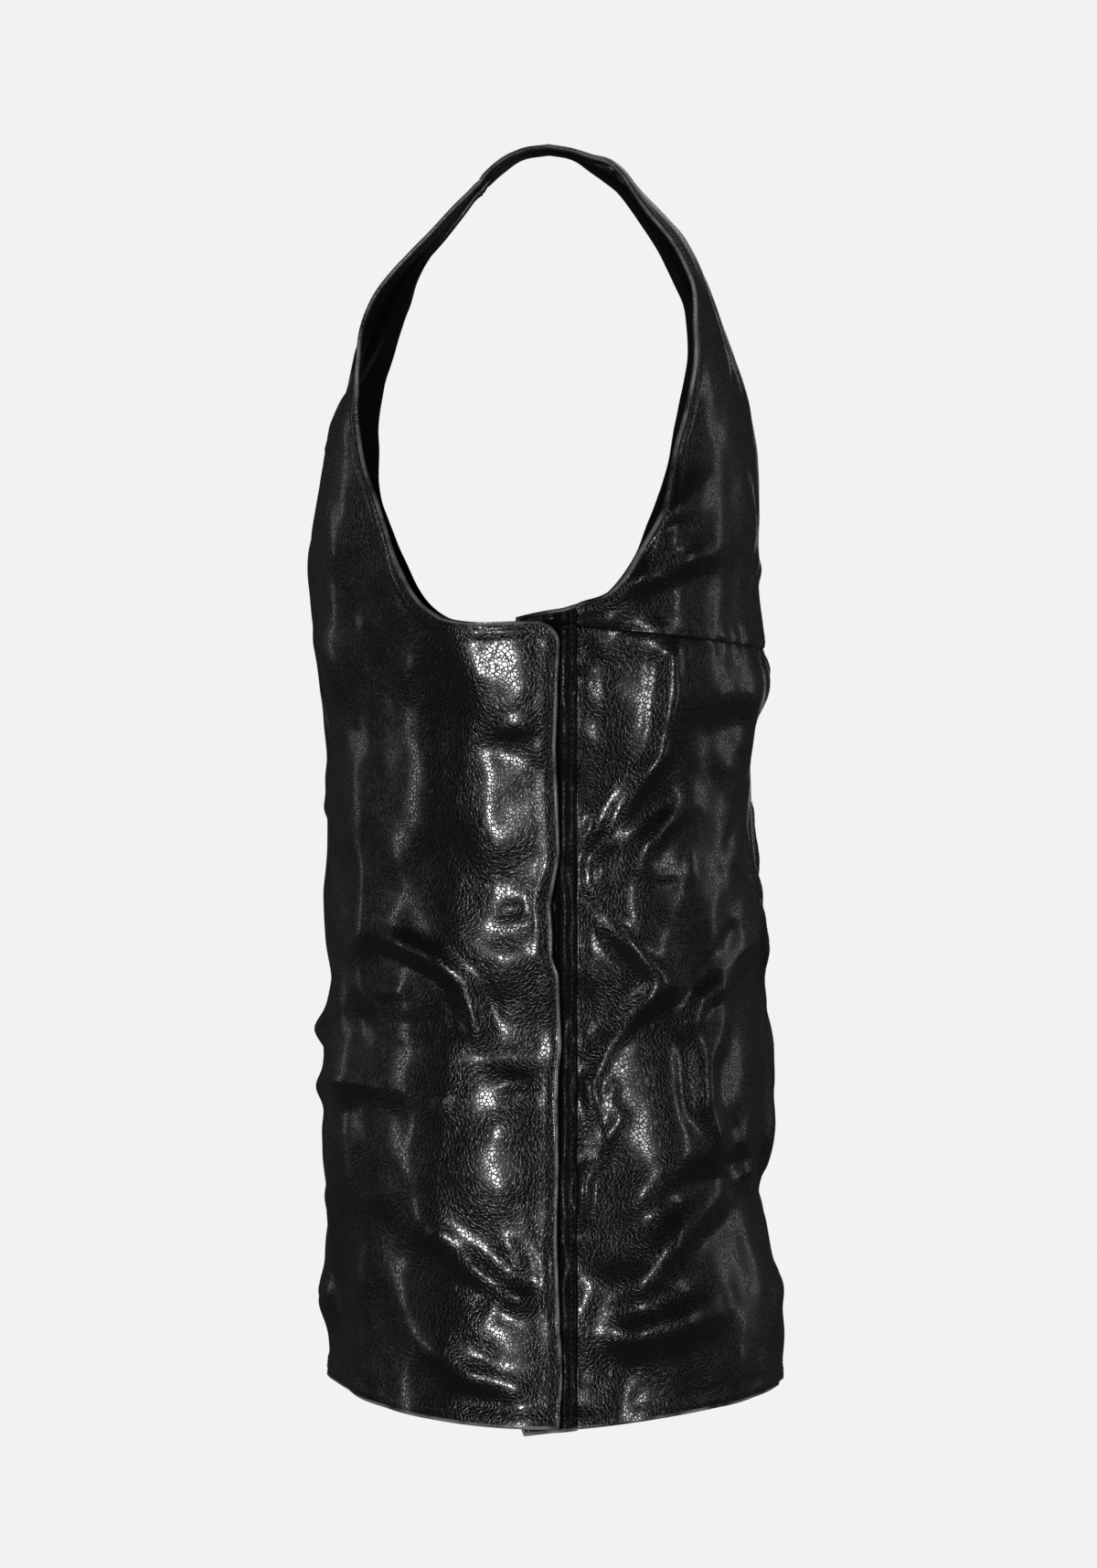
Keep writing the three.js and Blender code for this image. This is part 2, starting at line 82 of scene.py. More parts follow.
backProfile = np.array([
    (0, 1.5, 90, 190, 3.0, 0, 0), (20, -2, 76, 190, 2.6, 0.3, 0), (44.5, -13.5, 58, 190, 2.3, 0.42, 0),
    (70, -40, 42, 190, 2.2, 0.36, 0), (83, -66, 28, 190, 2.1, 0.34, 0), (91, -88, 18, 190, 2.1, 0.5, 0),
    (102, -120, 6, 189, 2.1, 0.85, 0), (108, -146, 0, 188, 2.1, 1, 0), (112, -188, 0, 188, 2.2, 1, 0),
    (110, -232, 0, 188, 2.3, 1, 0), (114, -262, 0, 187, 2.3, 1, 0), (117, -283, 0, 186, 2.3, 1, 0),
    (111, -305, 0, 185, 2.3, 1, 0), (107, -333, 0, 184, 2.3, 1, 0), (110.5, -375, 0, 182, 2.3, 1, 0),
    (110, -443, 0, 181, 2.3, 1, 0), (115, -485, 0, 183, 2.3, 1, 0), (115, -520, 0, 184, 2.3, 1, 0),
    (110, -538, 0, 185, 2.3, 1, 0), (119, -580, 0, 188, 2.3, 1, 0), (124.5, -620, 0, 190, 2.4, 1, 0),
    (123, -690, 0, 193, 2.4, 1, 0),
])


def mix(a, b, t):
    return a + (b - a) * t


def smooth(start, end, value):
    t = np.clip((value - start) / (end - start), 0, 1)
    return t * t * (3 - 2 * t)


def throughRows(keys, rows, t):
    last = len(keys) - 1
    i = np.clip(np.searchsorted(keys, t) - 1, 0, last - 1)
    before, after = np.maximum(i - 1, 0), np.minimum(i + 2, last)
    span = (keys[i + 1] - keys[i])[:, None]
    u = np.clip((t - keys[i])[:, None] / span, 0, 1)
    slopeA = (rows[i + 1] - rows[before]) / (keys[i + 1] - keys[before])[:, None] * span
    slopeB = (rows[after] - rows[i]) / (keys[after] - keys[i])[:, None] * span
    return (rows[i] * (1 + u * u * (2 * u - 3)) + rows[i + 1] * u * u * (3 - 2 * u)
            + slopeA * u * (1 - u) ** 2 - slopeB * u * u * (1 - u))


# The same with sharp turns at some of the keys.
def throughCorners(keys, rows, t, corners):
    found = np.empty((len(t), rows.shape[1]))
    cuts = [0, *corners, len(keys) - 1]
    for a, b in zip(cuts, cuts[1:]):
        part = (t >= keys[a]) & (t <= keys[b])
        found[part] = throughRows(keys[a:b + 1], rows[a:b + 1], t[part])
    return found


def measured(profile):
    steps = np.hypot(*np.diff(profile[:, :2], axis=0).T)
    runs = np.concatenate([[0], np.cumsum(steps)])
    fine = np.linspace(0, runs[-1], profileSteps)
    return {'runs': runs, 'rows': profile, 'fine': fine, 'fineZ': throughRows(runs, profile, fine)[:, 1]}


profiles = {-1: measured(frontProfile), 1: measured(backProfile)}


def runAt(side, z):
    found = np.zeros(np.shape(z))
    for s, p in profiles.items():
        found = np.where(side == s, s * np.interp(-np.asarray(z), -p['fineZ'], p['fine']), found)
    return found


def profileRows(side, run):
    rows = np.zeros((len(run), 7))
    for s, p in profiles.items():
        rows[side == s] = throughRows(p['runs'], p['rows'], np.abs(run[side == s]))
    return rows


# A point of the bare form: run goes down the profile from the shoulder, angle round the body from the centre.
def formPoint(run, angle):
    run, angle = np.broadcast_arrays(np.asarray(run, float), np.asarray(angle, float))
    shape = run.shape
    run, angle = run.ravel(), angle.ravel()
    side = np.where(run < 0, -1, 1)
    rows = profileRows(side, run)
    turn = np.abs(angle)
    past = turn > 90
    if past.any():
        side = np.where(past, -side, side)
        turn = np.where(past, 180 - turn, turn)
        rows[past] = profileRows(side[past], runAt(side[past], rows[past, 1]))
    y, z, lean, half, square, wrap, roll = rows.T
    power = 2 / square
    x = half * np.sin(np.radians(turn)) ** power
    far = angle < 0
    rollShare = np.where(far, mix(1, farStrap['roll'], smooth(*farStrap['rollHeights'], z)), 1)
    acrossStrap = np.maximum(body['rollLimit'], (x - body['strapMiddle']) / body['strapHalf'])
    bend = (wrap * np.abs(y - body['sideY']) * (1 - np.maximum(0, np.cos(np.radians(turn))) ** power)
            - roll * rollShare * acrossStrap)
    dip = np.radians(lean)
    rise = farStrap['rise'] * smooth(*farStrap['riseAcross'], x) * smooth(*farStrap['riseHeights'], z)
    lieBack = (farStrap['back'] * smooth(*farStrap['backAcross'], x) * smooth(*farStrap['frontOnly'], y)
               * smooth(*farStrap['backBelow'], z) * smooth(*farStrap['backAbove'], z))
    point = np.stack([np.sign(angle) * x, y - side * bend * np.cos(dip) + far * lieBack,
                      z - bend * np.sin(dip) + far * rise], axis=1)
    return point.reshape(*shape, 3)


def unit(vectors):
    return vectors / np.maximum(np.linalg.norm(vectors, axis=-1, keepdims=True), 1e-9)


def outwardAt(run, angle):
    step, least = 0.4, 0.5
    turn = np.where(np.abs(angle) < least, least * np.where(angle < 0, -1, 1), angle)
    up = formPoint(run + step, angle) - formPoint(run - step, angle)
    across = formPoint(run, turn + step) - formPoint(run, turn - step)
    return unit(np.cross(across, up))


def angleFor(run, reached, halvings=34):
    low, high = 0.0, 178.0
    for _ in range(halvings):
        middle = (low + high) / 2
        if reached(formPoint(run, middle)):
            high = middle
        else:
            low = middle
    return low


def atRun(run, x):
    return float(run), angleFor(run, lambda p: p[0] >= x) if x else 0.0


def atX(side, x, z):
    return atRun(runAt(side, z), x)


def atY(side, y, z):
    run = runAt(side, z)
    return float(run), angleFor(run, lambda p: p[1] >= y if side < 0 else p[1] <= y)


# Where the armhole ends at the side: the right front meets the yoke, the left one laps over the stand.
leftFoot = {'front': ((4.4, -254), (-4, -247.5), (-18, -247.5), (-33, -248), (-46, -247)),
            'yoke': (-238.5, -244)}
rightFoot = {'front': ((4.85, -248.7), (-4, -247.7), (-18, -247.8), (-33, -248.4), (-46, -247.4)),
             'yoke': (-247.6, -248.6)}


# Cut lines across a panel: x and z of both ends, or z at the centre and then y and z at the side.
def acrossLines(side, rows):
    return [(atX(side, *row[:2]), atX(side, *row[2:])) for row in rows]


def sideLines(side, rows):
    return [(atX(side, 0, row[0]), atY(side, *row[1:])) for row in rows]


def frontLines(edgeY, foot):
    atEdge = zip((-643.5, -545, -445, -362, -302), (edgeY,) * 5, (-662, -555, -445, -346, -275))
    atFoot = [(z, *end) for z, end in zip((-286, -272, -258, -245, -231), foot['front'])]
    return sideLines(-1, [
        *atEdge, *atFoot,
        (-217, -57, -244), (-203, -66, -237), (-190, -72.5, -228), (-177, -80, -213), (-166, -87.5, -195),
        (-158, -93.5, -178), (-152, -98.5, -162),
    ]) + acrossLines(-1, [
        (30, -148.5, 140.5, -150), (52, -137, 139.5, -136), (64, -121, 140.5, -121), (71, -101, 143, -102),
        (76, -77, 147, -78), (79, -53, 151, -54), (80.5, -34, 154, -34), (81, -20, 155, -20),
    ])


def yokeLines(edgeY, foot):
    shoulder = float(runAt(-1, -20)) + body['seamGap']
    overShoulder = [  # run and x of both ends
        (shoulder, 81, shoulder, 155), (-0.5, 80, -0.5, 156), (13, 79, 15, 156), (27, 72, 32, 155.5),
        (38, 58, 50, 154), (44, 36, 66, 152), (47, 0, 83, 150),
    ]
    return [(atRun(*row[:2]), atRun(*row[2:])) for row in overShoulder] + acrossLines(1, [
        (0, -36, 147.5, -84), (0, -58, 146, -103), (0, -82, 146.5, -123), (0, -106, 149.5, -143),
    ]) + sideLines(1, [
        (-128, 66, -163), (-150, 60, -183), (-170, 52.5, -201), (-190, 43, -219), (-208, 32, -232),
        (-228, edgeY, foot['yoke'][0]), (-244, edgeY, foot['yoke'][1]), (-261, edgeY, -249.5),
    ])


def backLines(edgeY):
    gap = body['seamGap']
    return sideLines(1, [
        (-261 - gap, edgeY, -249.5 - gap), (-350, edgeY, -345), (-450, edgeY, -450), (-550, edgeY, -555),
        (-646, edgeY, -662),
    ])


def standLines(edgeY):
    inner = body['standInner']
    rows = [(inner, -245.5, -238.5), (inner, -264, -258), (inner, -652, -651), (inner + 4, -665.6, -662.7)]
    return [(atY(-1, y, z), atY(-1, edgeY, edgeZ)) for y, z, edgeZ in rows]


grid = {
    'edgeSteps': (0.9, 2.0, 3.2), 'fine': 48,
    'seamReach': 0.3, 'seamShare': 0.999, 'seamPasses': 5, 'turn': 0.2, 'turnLimit': 2,
}


# How far down each cut line lies: one list for both halves, so that they meet at the centre.
def lineHeights(halves):
    gaps = []
    for lines, _, _ in halves:
        ends = np.array([[*inner, *outer] for inner, outer in lines])
        for run, angle in (ends[:, :2].T, ends[:, 2:].T):
            gaps.append(np.linalg.norm(np.diff(formPoint(run, angle), axis=0), axis=1))
    return np.concatenate([[0], np.cumsum(np.max(gaps, axis=0))])


# Places on the form, row by row, closer together along every edge.
def halfGrid(lines, corners, columns, slope, heights, cell):
    ends = np.array([[*inner, *outer] for inner, outer in lines])
    total = heights[-1]
    edge = np.array(grid['edgeSteps'])
    even = np.linspace(edge[-1], total - edge[-1], round(total / cell))
    places = np.concatenate([[0], edge[:-1], even, total - edge[-2::-1], [total]])
    rowEnds = np.hstack([throughCorners(heights, ends[:, :2], places, corners[0]),
                         throughCorners(heights, ends[:, 2:], places, corners[1])])
    # a straight side seam stays straight between its lines
    keyY = formPoint(ends[:, 2], ends[:, 3])[:, 1]
    onSeam = np.interp(places, heights, np.abs(keyY - keyY[0]) < grid['seamReach']) > grid['seamShare']
    for _ in range(grid['seamPasses']):
        reached = formPoint(rowEnds[:, 2], rowEnds[:, 3])[:, 1]
        slopeHere = (formPoint(rowEnds[:, 2], rowEnds[:, 3] + grid['turn'])[:, 1] - reached) / grid['turn']
        change = ((reached - keyY[0]) / slopeHere)[onSeam]
        rowEnds[onSeam, 3] -= np.clip(change, -grid['turnLimit'], grid['turnLimit'])
    u = np.linspace(0, 1, grid['fine'] + 1)
    run = mix(rowEnds[:, :1], rowEnds[:, 2:3], slope(u)[None])
    angle = np.maximum(0, mix(rowEnds[:, 1:2], rowEnds[:, 3:4], u[None]))
    points = formPoint(run, angle)
    lengths = np.cumsum(np.linalg.norm(np.diff(points, axis=1), axis=2), axis=1)
    lengths = np.hstack([np.zeros((len(lengths), 1)), lengths])
    rows = []
    for length, r in zip(lengths, rowEnds):
        between = np.linspace(edge[-1], length[-1] - edge[-1], columns)
        goals = np.concatenate([[0], edge[:-1], between, length[-1] - edge[-2::-1], length[-1:]])
        at = np.interp(goals, length, u)
        rows.append(np.stack([mix(r[0], r[2], slope(at)), np.maximum(0, mix(r[1], r[3], at))], axis=1))
    return np.array(rows), np.interp(places, heights, np.arange(len(lines)))


# Folds: height, half width, trough beside it, and the crest in the side view. A negative height is a trough.
mainFolds = [
    (3.5, 13, 0, (-115, -262), (-112, -290), (-108, -340), (-104, -390), (-102, -436), (-96, -462),
        (-100, -500), (-91, -543)),
    (5, 13, 0, (-87, -407), (-58, -421), (-43, -435), (-34, -465)),
    (-3, 10, 0, (-104, -457), (-80, -460), (-52, -456)),
    (3.5, 11, 0, (-118, -484), (-84, -486), (-52, -495)),
    (4.5, 13, 0, (-62, -558), (-34, -585), (-16, -595)),
    (3, 12, 0, (-64, -617), (-43, -634), (-10, -645)), (3.5, 12, 0, (41, -230), (62, -218), (82, -208)),
    (3, 12, 0, (57, -196), (82, -171)),
    (5, 11, 0, (57, -256), (63, -284), (59, -303), (47, -330), (37, -345), (24, -369), (25, -382),
        (35, -402), (56, -433)),
    (4, 11, 0, (56, -433), (38, -456), (24, -478), (28, -512), (20, -540)),
    (3.5, 10, 0, (71, -341), (50, -362), (46, -372)),
    (4.5, 11, 0, (108, -406), (92, -428), (79, -443), (76, -453)),
    (3.5, 11, 0, (77, -455), (79, -472), (80, -497), (89, -520)), (4.5, 13, 0, (73, -524), (37, -550)),
    (4.5, 13, 0, (93, -538), (63, -564), (51, -583), (35, -593)),
    (4.5, 13, 0, (89, -600), (43, -616), (22, -613)),
]
mainFrontFolds = [
    (4, 12, 0, (-60, -470), (0, -462), (62, -466)), (3, 9, 0, (-52, -497), (8, -490), (60, -494)),
    (3.5, 14, 0, (-70, -610), (-10, -603), (66, -612)),
    (2.5, 16, 0, (28, -250), (14, -330), (20, -420)),
]
mainBackFolds = [
    (-3, 16, 0, (-75, -300), (0, -310), (80, -298)), (4, 15, 0, (-70, -350), (-20, -430), (-36, -500)),
    (4, 15, 0, (30, -390), (14, -470), (52, -560)), (-3, 11, 0, (-64, -545), (0, -535), (72, -548)),
]
# The creases on them, in the same form.
creases = [
    (1.5, 7, 1, (-124, -211), (-119, -244), (-115, -257), (-107, -277), (-103, -294)),
    (-2, 6, 0, (-118, -289), (-113, -318), (-109, -351), (-105, -400), (-103, -438), (-97, -463),
        (-101, -503), (-96, -536), (-92, -544)),
    (3.5, 5, 2.5, (-88, -408), (-58, -421), (-43, -434), (-34, -464)),
    (1.2, 3, 0, (-93, -439), (-71, -438)), (1.5, 3.5, 0, (-90, -458), (-71, -463), (-52, -464)),
    (2, 4, 0, (-122, -490), (-102, -487), (-84, -487)),
    (-1.7, 7, 0, (-51, -470), (-24, -473), (1, -473)), (1.5, 6, 0, (-57, -495), (-52, -497)),
    (3, 6, 0.7, (-62, -558), (-34, -584), (-16, -594), (-4, -604)),
    (1.8, 4, 0, (-25, -562), (-11, -581)), (1.8, 4, 0, (-9, -562), (-3, -579), (-3, -596)),
    (2, 6, 1, (-64, -618), (-43, -634), (-8, -645)), (1, 6, 0, (-33, -598), (-25, -602)),
    (1.5, 8, 0, (-47, -252), (-33, -285)), (1.4, 3.5, 0, (-30, -304), (-16, -300), (-4, -306)),
    (1.4, 2.5, 0, (-4, -308), (-5, -320)), (1.4, 3.5, 0, (-26, -398), (-15, -395), (-5, -399)),
    (1.4, 2.5, 0, (-4, -377), (-3, -402), (-4, -424)),
    (1.4, 3.5, 0, (-28, -487), (-16, -484), (-4, -490)),
    (1.2, 3.5, 0, (-25, -582), (-16, -579), (-6, -584)),
    (3, 6, 0.8, (41, -230), (64, -218), (83, -208)), (3, 6, 0.8, (57, -196), (71, -184), (83, -171)),
    (2, 5, 0, (38, -236), (58, -208), (72, -199)),
    (2.6, 4, 0.9, (57, -256), (63, -263), (63, -284), (59, -303), (56, -317), (47, -329), (37, -345),
        (31, -357), (23, -369), (23, -381), (32, -404), (43, -417), (56, -433)),
    (2.6, 4, 0.9, (56, -433), (43, -451), (31, -465), (22, -486), (28, -511), (28, -523), (19, -532),
        (18, -542), (19, -560)),
    (2.2, 4.5, 1, (71, -341), (57, -352), (50, -362), (47, -372)),
    (-1.5, 3, 0, (51, -385), (68, -382)), (1.2, 3, 0, (73, -363), (72, -381)),
    (1.5, 6, 0, (93, -312), (93, -343)), (1.2, 4, 0, (100, -302), (100, -317)),
    (-2, 3, 0, (100, -342), (97, -356), (93, -370)),
    (-1.5, 2.5, 0, (96, -371), (100, -382), (104, -392)),
    (3, 5, 2, (109, -408), (93, -429), (79, -443), (75, -453)),
    (2.5, 5, 1.5, (92, -435), (89, -454), (86, -476)),
    (2.2, 5, 2, (77, -455), (79, -473), (80, -498), (89, -521)), (1.5, 3.5, 0, (32, -480), (32, -506)),
    (1.5, 3, 0, (35, -495), (37, -502), (29, -519)), (1.2, 10, 0, (73, -524), (54, -538), (37, -549)),
    (3, 9, 0.8, (93, -539), (63, -564), (51, -583), (35, -593), (21, -581)),
    (2.5, 4, 3, (109, -526), (99, -539)), (3, 8, 0.8, (89, -601), (66, -609), (43, -615), (22, -612)),
    (1.5, 10, 0, (26, -641), (46, -649)),
    # pillows between the buttons
    (0.9, 15, 0, (-26, -270), (-8, -288)), (1.1, 17, 0, (-50, -352), (-14, -374)),
    (1.1, 17, 0, (-44, -400), (-24, -444)), (1.0, 18, 0, (-36, -480), (-26, -520), (-6, -538)),
    # hollows at the buttons
    (-1.1, 9, 0, (-46, -312), (0, -311)), (-1.2, 9, 0, (-42, -408), (0, -405)),
    (-1.0, 8, 0, (-40, -493), (0, -493)), (-1.1, 8, 0, (-40, -586), (0, -588)),
    (-2.0, 10, 0, (30, -256), (29, -300), (27, -350), (23, -404)), (0.9, 3, 0, (29, -257), (28, -268)),
    (0.9, 3, 0, (45, -257), (46, -268)), (0.9, 3, 0, (64, -258), (63, -270)),
]
# Across the centre front and back, in the view from the front.
frontCreases = [
    (2.2, 6, 1, (-96, -466), (-58, -455), (-18, -465), (22, -459), (56, -467), (92, -461)),
    (1.8, 6, 0.6, (-90, -481), (-44, -487), (4, -496), (48, -489), (94, -493)),
    (2, 8, 0.6, (-92, -616), (-52, -606), (-12, -599), (30, -606), (58, -601), (90, -611)),
    (1.6, 5, 0.8, (-34, -330), (-10, -352), (26, -343)),
    (1.6, 6, 0, (12, -248), (26, -300), (14, -352)), (1.6, 6, 0, (-34, -230), (-26, -282)),
    (1.5, 7, 0.4, (-84, -540), (-50, -549), (-14, -560), (30, -556)),
]
backCreases = [
    (2.2, 5, 1, (-60, -326), (-24, -352), (-8, -388)),
    (2.3, 6, 1, (84, -362), (62, -382), (28, -414), (6, -452), (16, -500)),
    (2, 6, 0.8, (-90, -424), (-56, -441), (-22, -464), (-30, -508)),
    (2.2, 7, 0.8, (-94, -528), (-60, -524), (-20, -538), (24, -531), (60, -543), (92, -537)),
    (2, 8, 0.6, (-88, -586), (-48, -594), (-6, -603), (44, -596), (86, -602)),
    (1.5, 6, 0, (-50, -214), (-10, -222), (44, -212)), (1.2, 3, 0, (-36, -262), (-38, -274)),
    (1.2, 3, 0, (6, -263), (5, -276)), (1.2, 3, 0, (38, -262), (40, -273)),
]


# A few plane waves of about one size: a smooth uneven value for every point.
def waviness(points, size, seed, count=14):
    draw = np.random.default_rng(seed)
    directions = unit(draw.normal(size=(count, 3)))
    lengths = size * draw.uniform(0.7, 1.5, count)
    phases = draw.uniform(0, 2 * math.pi, count)
    value = np.zeros(len(points))
    for direction, length, phase in zip(directions, lengths, phases):
        value += np.sin(points @ direction * (2 * math.pi / length) + phase)
    return value / math.sqrt(count / 2)


foldShape = {
    'otherSide': 0.45, 'troughAt': 1.9, 'troughWidth': 0.9,  # the trough, for each half width of the fold
    'endShare': 0.35, 'endMost': 14, 'endPast': 0.2,
    'even': 0.85, 'long': 0.22, 'longSize': 9, 'short': 0.12, 'shortSize': 4.1,
}


def foldLift(fold, across, z, taper=False):
    height, width, trough, *path = fold
    path = np.array(path, float)
    lengths = np.linalg.norm(np.diff(path, axis=0), axis=1)
    starts = np.concatenate([[0], np.cumsum(lengths)])
    nearest = np.full(len(across), 1e9)
    along = np.zeros(len(across))
    hand = np.zeros(len(across))
    for a, b, length, start in zip(path, path[1:], lengths, starts):
        dx, dz = (b - a) / length
        t = np.clip((across - a[0]) * dx + (z - a[1]) * dz, 0, length)
        ox, oz = across - a[0] - t * dx, z - a[1] - t * dz
        distance = np.hypot(ox, oz)
        closer = distance < nearest
        nearest = np.where(closer, distance, nearest)
        along = np.where(closer, start + t, along)
        hand = np.where(closer, np.sign(ox * dz - oz * dx), hand)
    shape = height * np.exp(-(nearest / width) ** 2)
    if trough:
        share = np.where(hand > 0, 1, foldShape['otherSide'])
        away = (nearest - foldShape['troughAt'] * width) / (foldShape['troughWidth'] * width)
        shape -= trough * share * np.exp(-away ** 2)
    if not taper:
        return shape
    ends = min(foldShape['endShare'] * starts[-1], foldShape['endMost'])
    past = foldShape['endPast'] * ends
    fade = smooth(-past, ends, along) * smooth(starts[-1] + past, starts[-1] - ends, along)
    uneven = (foldShape['even'] + foldShape['long'] * np.sin(along / foldShape['longSize'] + height * 5)
              + foldShape['short'] * np.sin(along / foldShape['shortSize'] + width))
    return shape * fade * uneven


def lift(p):
    x, y, z = p.T
    far, front = x < 0, y < body['sideY']
    sideShare = smooth(*body['foldFade'], np.abs(x))
    creaseShare = 1 - smooth(*body['creaseFade'], np.abs(x))
    sideZ = np.where(far, z + body['farShift'], z)
    scale = sideShare * np.where(far, body['farScale'], 1)
    lapped = np.where(y < 0, smooth(*body['lapFlatFront'], y), smooth(*body['lapFlatBack'], y))
    height = np.zeros(len(p))
    for fold in mainFolds:
        height += foldLift(fold, y, sideZ) * scale * lapped * body['mainShare']
    for fold in creases:
        height += foldLift(fold, y, sideZ, taper=True) * scale
    middles = (
        (mainFrontFolds, False, (1 - sideShare) * front), (frontCreases, True, creaseShare * front),
        (mainBackFolds, False, (1 - sideShare) * ~front), (backCreases, True, creaseShare * ~front),
    )
    for folds, taper, share in middles:
        for fold in folds:
            height += foldLift(fold, x, z, taper) * share
    return height * smooth(*body['foldTop'], z)


# How the straps lie beside their plain form: calmer, the left one less rolled in front.
strapForm = {
    'calm': 0.55, 'calmHeights': (-110, -70),
    'unroll': 0.5, 'rollByHeight': ((-66, -47, -20, -1.5), (6.5, 4.5, 1.5, 0)), 'unrollHeights': (-85, -50),
    'outHeights': (-80, -60), 'sidesMeet': (-45, 45),
}
leftStrapOut = np.array([  # y, and how much further out the strap lies there
    (-76, 0), (-58, 0), (-45, 0.7), (-32, 1.9), (-24, 1.0), (-15, -1.5), (-5, -2.0), (12, -2.0), (22, -1.7),
    (31, 0.5), (38, 0), (46, -1.9), (54, -3.2), (66, -1.9), (80, 0), (92, 0),
])
rightStrapOut = np.array([
    (-82, 0), (-68, 2.5), (-58, 3.6), (-45, 4.2), (-35, 4.0), (-25, 3.2), (-12, 3.0), (5, 3.2), (12, 3.0),
    (22, 0.7), (31, 0), (38, 0), (46, -1.3), (54, -2.5), (66, -2.8), (80, -0.8), (92, 0),
])


def strapLift(p):
    x, y, z = p.T
    leftFront = (x > 0) & (y < body['sideY'])
    roll = np.interp(z, *strapForm['rollByHeight']) * (x - body['strapMiddle']) / body['strapHalf']
    left, right = (throughRows(t[:, 0], t[:, 1:], np.clip(y, t[0, 0], t[-1, 0]))[:, 0]
                   for t in (leftStrapOut, rightStrapOut))
    return (mix(right, left, smooth(*strapForm['sidesMeet'], x)) * smooth(*strapForm['outHeights'], z)
            - strapForm['unroll'] * roll * leftFront * smooth(*strapForm['unrollHeights'], z))


frontEdge = {
    # how the free edge of the front wavers, by height
    'z': (-662, -636, -613, -566, -528, -500, -481, -466, -429,
          -420, -406, -393, -383, -367, -350, -312, -284, -250),
    'y': (5.1, 7.0, 5.6, 3.8, 4.7, 4.2, 4.2, 6.1, 4.7, 1.4, 1.4, 0.5, 2.3, 5.2, 4.7, 3.3, 4.2, 5),
    'reach': -45.0, 'below': (-240, -262),
    'buttons': (-310.6, -405.4, -493.2, -587.6),
    'standsOff': 0.9, 'pressedIn': 0.35, 'buttonReach': 20.0,
}
edges = {
    'bulge': 0.55, 'pullIn': 0.3,
    'raised': 0.65, 'raisedTo': (6.0, 8.5),  # the turned edge is thicker up to here
    'groove': 0.6, 'grooveWidth': 0.8,
    'seamDent': 0.55, 'seamDentWidth': 2.2,
    'crossSeamShare': 1.6, 'crossSeamWidth': 1.3,  # the seam across the stand, beside the others
    'pucker': 0.35, 'puckerReach': 9.0, 'puckerSize': 13.0, 'puckerSeed': 21,
    'hemStitch': 5.0, 'edgeStitch': 2.0, 'seamStitch': 2.5, 'hemNearer': 0.5,
}
unevenness = ((1.0, 74, 3), (0.32, 34, 5), (0.07, 14, 8))  # height, size, seed


def samples(points, spacing):
    spread = []
    for a, b in zip(points, points[1:]):
        count = max(1, int(np.linalg.norm(b - a) / spacing))
        spread.extend(a + (b - a) * i / count for i in range(count))
    return spread + [points[-1]]


def distanceTo(points, targets, reach=30.0):
    if not targets:
        return np.full(len(points), reach)
    tree = KDTree(len(targets))
    for i, target in enumerate(targets):
        tree.insert(target, i)
    tree.balance()
    return np.array([min(reach, tree.find(p)[2]) for p in points])


# One panel: a closed wall with a rounded rim, and its edges by name.
def buildPanel(name, halves, insetAt, finished, spacing):
    print('panel', name)
    columns, slope, cell = spacing
    blocks, bases, places = [], [], []
    heights = lineHeights(halves)
    for lines, mirrored, corners in halves:
        found, keys = halfGrid(lines, corners, columns, slope, heights, cell)
        sign = -1 if mirrored else 1
        run, angle = found[..., 0].ravel(), sign * found[..., 1].ravel()
        blocks.append((found.shape[:2], mirrored, keys))
        bases.append(formPoint(run, angle))
        places.append((run, angle))
    base = np.vstack(bases) + 0.0  # no minus zero
    run, angle = (np.concatenate([p[i] for p in places]) for i in (0, 1))
    _, first, index = np.unique(np.round(base, 3), axis=0, return_index=True, return_inverse=True)
    index = index.ravel()
    base, run, angle = base[first], run[first], angle[first]
    normal = outwardAt(run, angle)
    faces, edge, start = [], {}, 0
    for (rows, cols), mirrored, keys in blocks:
        ids = index[start:start + rows * cols].reshape(rows, cols)
        start += rows * cols
        a, b, d, e = ids[:-1, :-1], ids[:-1, 1:], ids[1:, :-1], ids[1:, 1:]
        quads = np.stack([a, d, e, b] if mirrored else [a, b, e, d], axis=-1).reshape(-1, 4)
        faces.append(quads)
        hand = 'Right' if mirrored else 'Left'
        edge['first' + hand], edge['last' + hand] = ids[0], ids[-1]
        edge['outer' + hand], edge['inner' + hand] = ids[:, -1], ids[:, 0]
        edge['keys' + hand] = keys
    faces = np.vstack(faces)
    side = np.cross(base[faces[:, 2]] - base[faces[:, 0]], base[faces[:, 3]] - base[faces[:, 1]])
    if np.sum(side * normal[faces[:, 0]]) < 0:
        faces = faces[:, ::-1]
    return finishPanel(name, base, normal, faces, edge, insetAt, finished(edge))


def boundaryOf(faces, count):
    fromTo = np.vstack([faces[:, [i, (i + 1) % 4]] for i in range(4)])
    fromTo = fromTo[fromTo[:, 0] != fromTo[:, 1]]
    forward = fromTo[:, 0] * count + fromTo[:, 1]
    backward = fromTo[:, 1] * count + fromTo[:, 0]
    return fromTo[~np.isin(forward, backward)]


